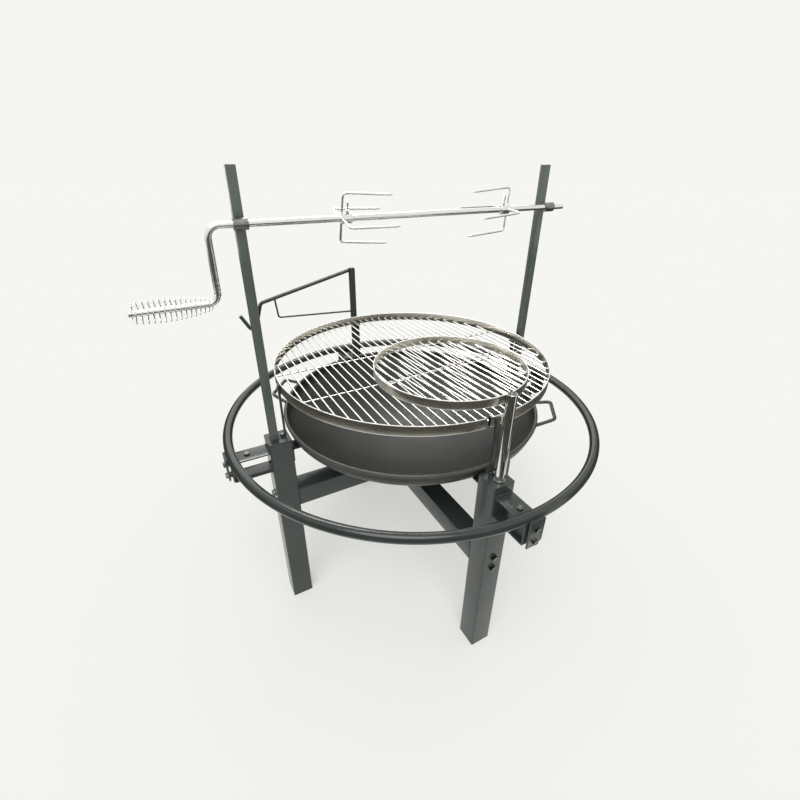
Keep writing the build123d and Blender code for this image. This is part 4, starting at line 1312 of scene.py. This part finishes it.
def thumbscrew_shape(origin, up):
    """Shank, neck and two ears, standing out from the collar."""
    low, face = spit_radius + thumb_gap, collar_radius + thumb_gap
    base = collar_radius + thumb_neck
    stem = [
        (0, low),
        (thumb_shank_radius, low),
        (thumb_shank_radius, face),
        (thumb_neck_radius - edge_round, face),
        (thumb_neck_radius, face + edge_round),
        (thumb_neck_radius, collar_radius + thumb_neck * 0.7),
        (thumb_neck_radius * 0.8, base),
        (0, base),
    ]
    shape = join([lathe(stem, 28), thumb_ear(base, -1), thumb_ear(base, 1)])
    across = Vector((1, 0, 0))
    turn = Matrix((across, up.cross(across), up)).transposed().to_4x4()
    return moved(shape, Matrix.Translation(origin) @ turn)


for side, way in (("left", 1), ("right", -1)):
    low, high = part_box(f"fork_{side}")
    bars = low.x + collar_back if way > 0 else high.x - collar_back
    reach = high.x - bars if way > 0 else bars - low.x
    axis = Vector((way, 0, 0))
    origin = Vector((bars, spit_front, spit_height))
    roll = radians(fork_rolls[side])
    lean = Vector((0, sin(roll), cos(roll)))
    prongs, beads = fork_shape(origin, axis, lean, reach, prong_droops[side])
    piece(f"fork_{side}_prongs", prongs, chrome_spit, f"fork_{side}", f"fork_{side}")
    piece(f"fork_{side}_welds", beads, chrome, body=f"fork_{side}")
    shape = thumbscrew_shape(origin + axis * thumb_offset, lean)
    piece(f"wing_screw_{side}", shape, cast_wing, f"thumbscrew_{side}", f"screw_{side}", sharp=45)

# Pivot pins and thrust washers stay CAD; the chrome sleeve turns round the front pin
sleeve = upright_tube("grill_sleeve", sleeve_edge)
piece("grill_sleeve_tube", sleeve, chrome_sleeve, "grill_sleeve", "side_grill")

# Side grill
side_height = side_high.z - side_low.z
side_across = side_way.cross(upward)
side_section = rounded_rectangle(side_height, band_thickness, band_corner, steps=3)
side_circle = [
    side_centre + point
    for point in level_loop(circle(side_radius - band_thickness / 2, side_band_steps), 0)
]
side_shape = sweep(side_circle, side_section, closed=True, normal=upward)
piece("side_band_strip", side_shape, side_band, "side_grill_band", "side_grill")
side_inner = side_radius - band_thickness
side_axis = axis_of("side_grill_band")
middle = side_axis + upward * (side_low.z + side_wire_rise)
wires, beads = wire_rows(
    middle, side_way, side_inner, side_wire_pitch, side_wire_count, 80, side_wire_weld
)
piece("side_wire_rods", wires, side_wire, "side_grill_wires", "side_grill", sharp=60)
piece("side_wire_welds", beads, side_wire, body="side_grill")
middle = side_axis + upward * (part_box("side_cross_wire")[0].z + wire_radius)
rod = cross_rod(middle, side_way, side_inner, side_cross_offset, 99)
piece("side_cross_rod", rod, cross_wire, "side_cross_wire", "side_grill", sharp=60)
touch = axis_of("grill_sleeve") + side_way * radius_of("grill_sleeve")
beads = []
for step in (-1, 1):
    foot = touch + side_across * step * sleeve_weld_half
    rise = side_height - 2 * sleeve_weld_end
    heights = [side_low.z + sleeve_weld_end + rise * i / 8 for i in range(9)]
    beads.append(weld_bead([foot + upward * height for height in heights], sleeve_weld, 20 + step))
piece("sleeve_welds", join(beads), chrome, body="side_grill")

# Pot crane
crane_place = axis_of("crane_post")
piece(
    "crane_post_tube", upright_tube("crane_post", crane_post_edge), black, "crane_post", "crane"
)
cap_low, cap_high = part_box("crane_cap")
cap_profile = turned_profile(
    radius_of("crane_cap"), 0, cap_low.z, cap_high.z, cap_low_edge, cap_high_edge
)
cap_shape = moved(lathe(cap_profile, 48), Matrix.Translation(crane_place))
piece("crane_cap_disc", cap_shape, black, "crane_cap", "crane")
crane_way = outward(crane_turn)
crane_side = crane_way.cross(upward)


def crane_point(reach, drop):
    """Point in the crane's plane, out from its post and down from its top."""
    return crane_place + crane_way * reach + upward * (cap_high.z - drop)


post_reach = radius_of("crane_post") - crane_sink
bend_reach, bend_drop = crane_stations[0]
arm_fall = (bend_drop - crane_arm_drop) / bend_reach
arm_root = (post_reach, crane_arm_drop + arm_fall * post_reach)
arm_corners = [crane_point(*station) for station in (arm_root, *crane_stations)]
arm_path = rounded_path(arm_corners, crane_bends)
tip_way = (arm_path[-1] - arm_path[-2]).normalized()
arm_path.insert(-1, arm_path[-1] - tip_way * crane_tip_edge)
arm_tip = broken_ends(path_length(arm_path), crane_tip_edge, 0.85, both=False)
arm_shape = sweep(arm_path, circle(crane_bar_radius, 24), normal=crane_side, scale=arm_tip)
piece("crane_arm_bar", arm_shape, black, "crane_arm", "crane")
brace_top_drop = crane_arm_drop + arm_fall * crane_brace_top_reach + crane_bar_radius * 0.8
brace_corners = [
    crane_point(post_reach, crane_brace_drop),
    crane_point(crane_brace_reach, crane_brace_drop),
    crane_point(crane_brace_top_reach, brace_top_drop),
]
brace_path = rounded_path(brace_corners, [crane_brace_bend])
brace_shape = sweep(brace_path, circle(crane_brace_radius, 16), normal=crane_side)
piece("crane_brace_bar", brace_shape, black, "crane_brace", "crane")
brace = (crane_brace_radius, crane_brace_weld)
beads = [
    weld_round(arm_corners[0], crane_way, crane_bar_radius, crane_arm_weld, 5, crane_weld_lift),
    weld_round(brace_corners[0], crane_way, *brace, 6, crane_weld_lift),
    weld_round(brace_corners[-1], upward, *brace, 7, -crane_weld_lift),
]
piece("crane_welds", join(beads), black, body="crane")

# Welds of the frame: ring to tabs and arms to legs
beads = []
for seed, angle in enumerate(side_angles.values()):
    reach, height = tab_inner - ring_weld_gap, tab_high.z - ring_weld_drop
    beads.append(
        weld_across(angle, reach, height, 2 * tab_half, 0.94, ring_weld, seed, ring_weld_drop)
    )
    for face, step in ((arm_high.z, -1), (arm_low.z, 1)):
        height = face + step * (arm_strap / 2 - arm_weld_drop)
        reach = leg_outer + arm_weld_gap
        beads.append(weld_across(angle, reach, height, arm_width, 0.95, arm_weld, seed + 10))
piece("frame_welds", join(beads), black)


# Camera, floor and light
def make_camera():
    """The photograph's camera, set by its yaw, pitch and roll."""
    yaw, pitch, roll = (radians(angle) for angle in camera_angles)
    forward = Vector((-sin(yaw) * cos(pitch), cos(yaw) * cos(pitch), sin(pitch)))
    level = Vector((cos(yaw), sin(yaw), 0))
    upright = level.cross(forward)
    across = level * cos(roll) + upright * sin(roll)
    top = upright * cos(roll) - level * sin(roll)
    data = bpy.data.cameras.new("camera")
    data.lens = camera_lens
    data.sensor_width = sensor_width
    data.clip_start = near_clip
    camera = bpy.data.objects.new("camera", data)
    turn = Matrix((across, top, -forward)).transposed().to_4x4()
    camera.matrix_world = Matrix.Translation(camera_place) @ turn
    bpy.context.scene.collection.objects.link(camera)
    bpy.context.scene.camera = camera


def staged(name, verts, faces, material):
    """An object of the studio around the part."""
    mesh = bpy.data.meshes.new(name)
    mesh.from_pydata([tuple(v) for v in verts], [], faces)
    mesh.materials.append(material)
    made = bpy.data.objects.new(name, mesh)
    bpy.context.scene.collection.objects.link(made)
    return made


def mirrored_only(name, verts, faces, material):
    """A part of the studio that shows in reflections alone and puts no light on the object."""
    made = staged(name, verts, faces, material)
    for way in ("camera", "diffuse", "shadow", "volume_scatter"):
        setattr(made, f"visible_{way}", False)


def make_floor():
    """A round floor, far wider than the picture."""
    rim = [pit + point for point in level_loop(circle(floor_radius, 96), 0)]
    staged("floor", rim, [tuple(range(len(rim)))], floor_material())


def make_screens():
    """Dark screens round the object, seen in reflections alone, so that bright metal has dark edges:
    painted dark reflections.
    """
    dark = graph("screen_dark").set(colour=screen_colour, roughness=1.0, specular=0.0)
    for first, last in screen_spans:
        steps = ceil((last - first) / screen_step)
        verts, faces = [], []
        for i in range(steps + 1):
            angle = first + (last - first) * i / steps
            verts += [place_at(angle, screen_radius, height) for height in (0, screen_height)]
            if i:
                faces.append((2 * i - 2, 2 * i, 2 * i + 1, 2 * i - 1))
        mirrored_only("screen", verts, faces, dark)


def make_panels():
    """A bright wall and a panel behind the object that glow in reflections alone: painted highlights for
    the wires, rods and ring to mirror.
    """
    for name, (middle, across, up, brightness) in panels.items():
        g = graph(name)
        g.output(g.add("Emission", {"Color": panel_colour, "Strength": brightness}))
        verts = [middle + across * x + up * y for x, y in ((-1, -1), (1, -1), (1, 1), (-1, 1))]
        mirrored_only(name, verts, [(0, 1, 2, 3)], g.owner)


def make_light():
    """Soft even light from the sky, a wide sun, and a pale background for what is seen."""
    world = bpy.data.worlds.new("studio")
    bpy.context.scene.world = world
    g = Graph(world)
    sky = g.tree.nodes["Background"]
    g.put(sky_colour, sky.inputs["Color"])
    g.put(sky_light, sky.inputs["Strength"])
    seen = g.add("Background", {"Color": background_colour})
    g.output(g.add("MixShader", {0: g.seen(), 1: sky.outputs[0], 2: seen.outputs[0]}))
    sun_data = bpy.data.lights.new("sun", "SUN")
    sun_data.energy = sun_strength
    sun_data.angle = radians(sun_angle)
    sun = bpy.data.objects.new("sun", sun_data)
    sun.rotation_mode = "QUATERNION"
    sun.rotation_quaternion = sun_way.to_track_quat("-Z", "Y")
    bpy.context.scene.collection.objects.link(sun)


make_camera()
make_floor()
make_screens()
make_panels()
make_light()
bpy.context.scene.view_settings.view_transform = "Standard"
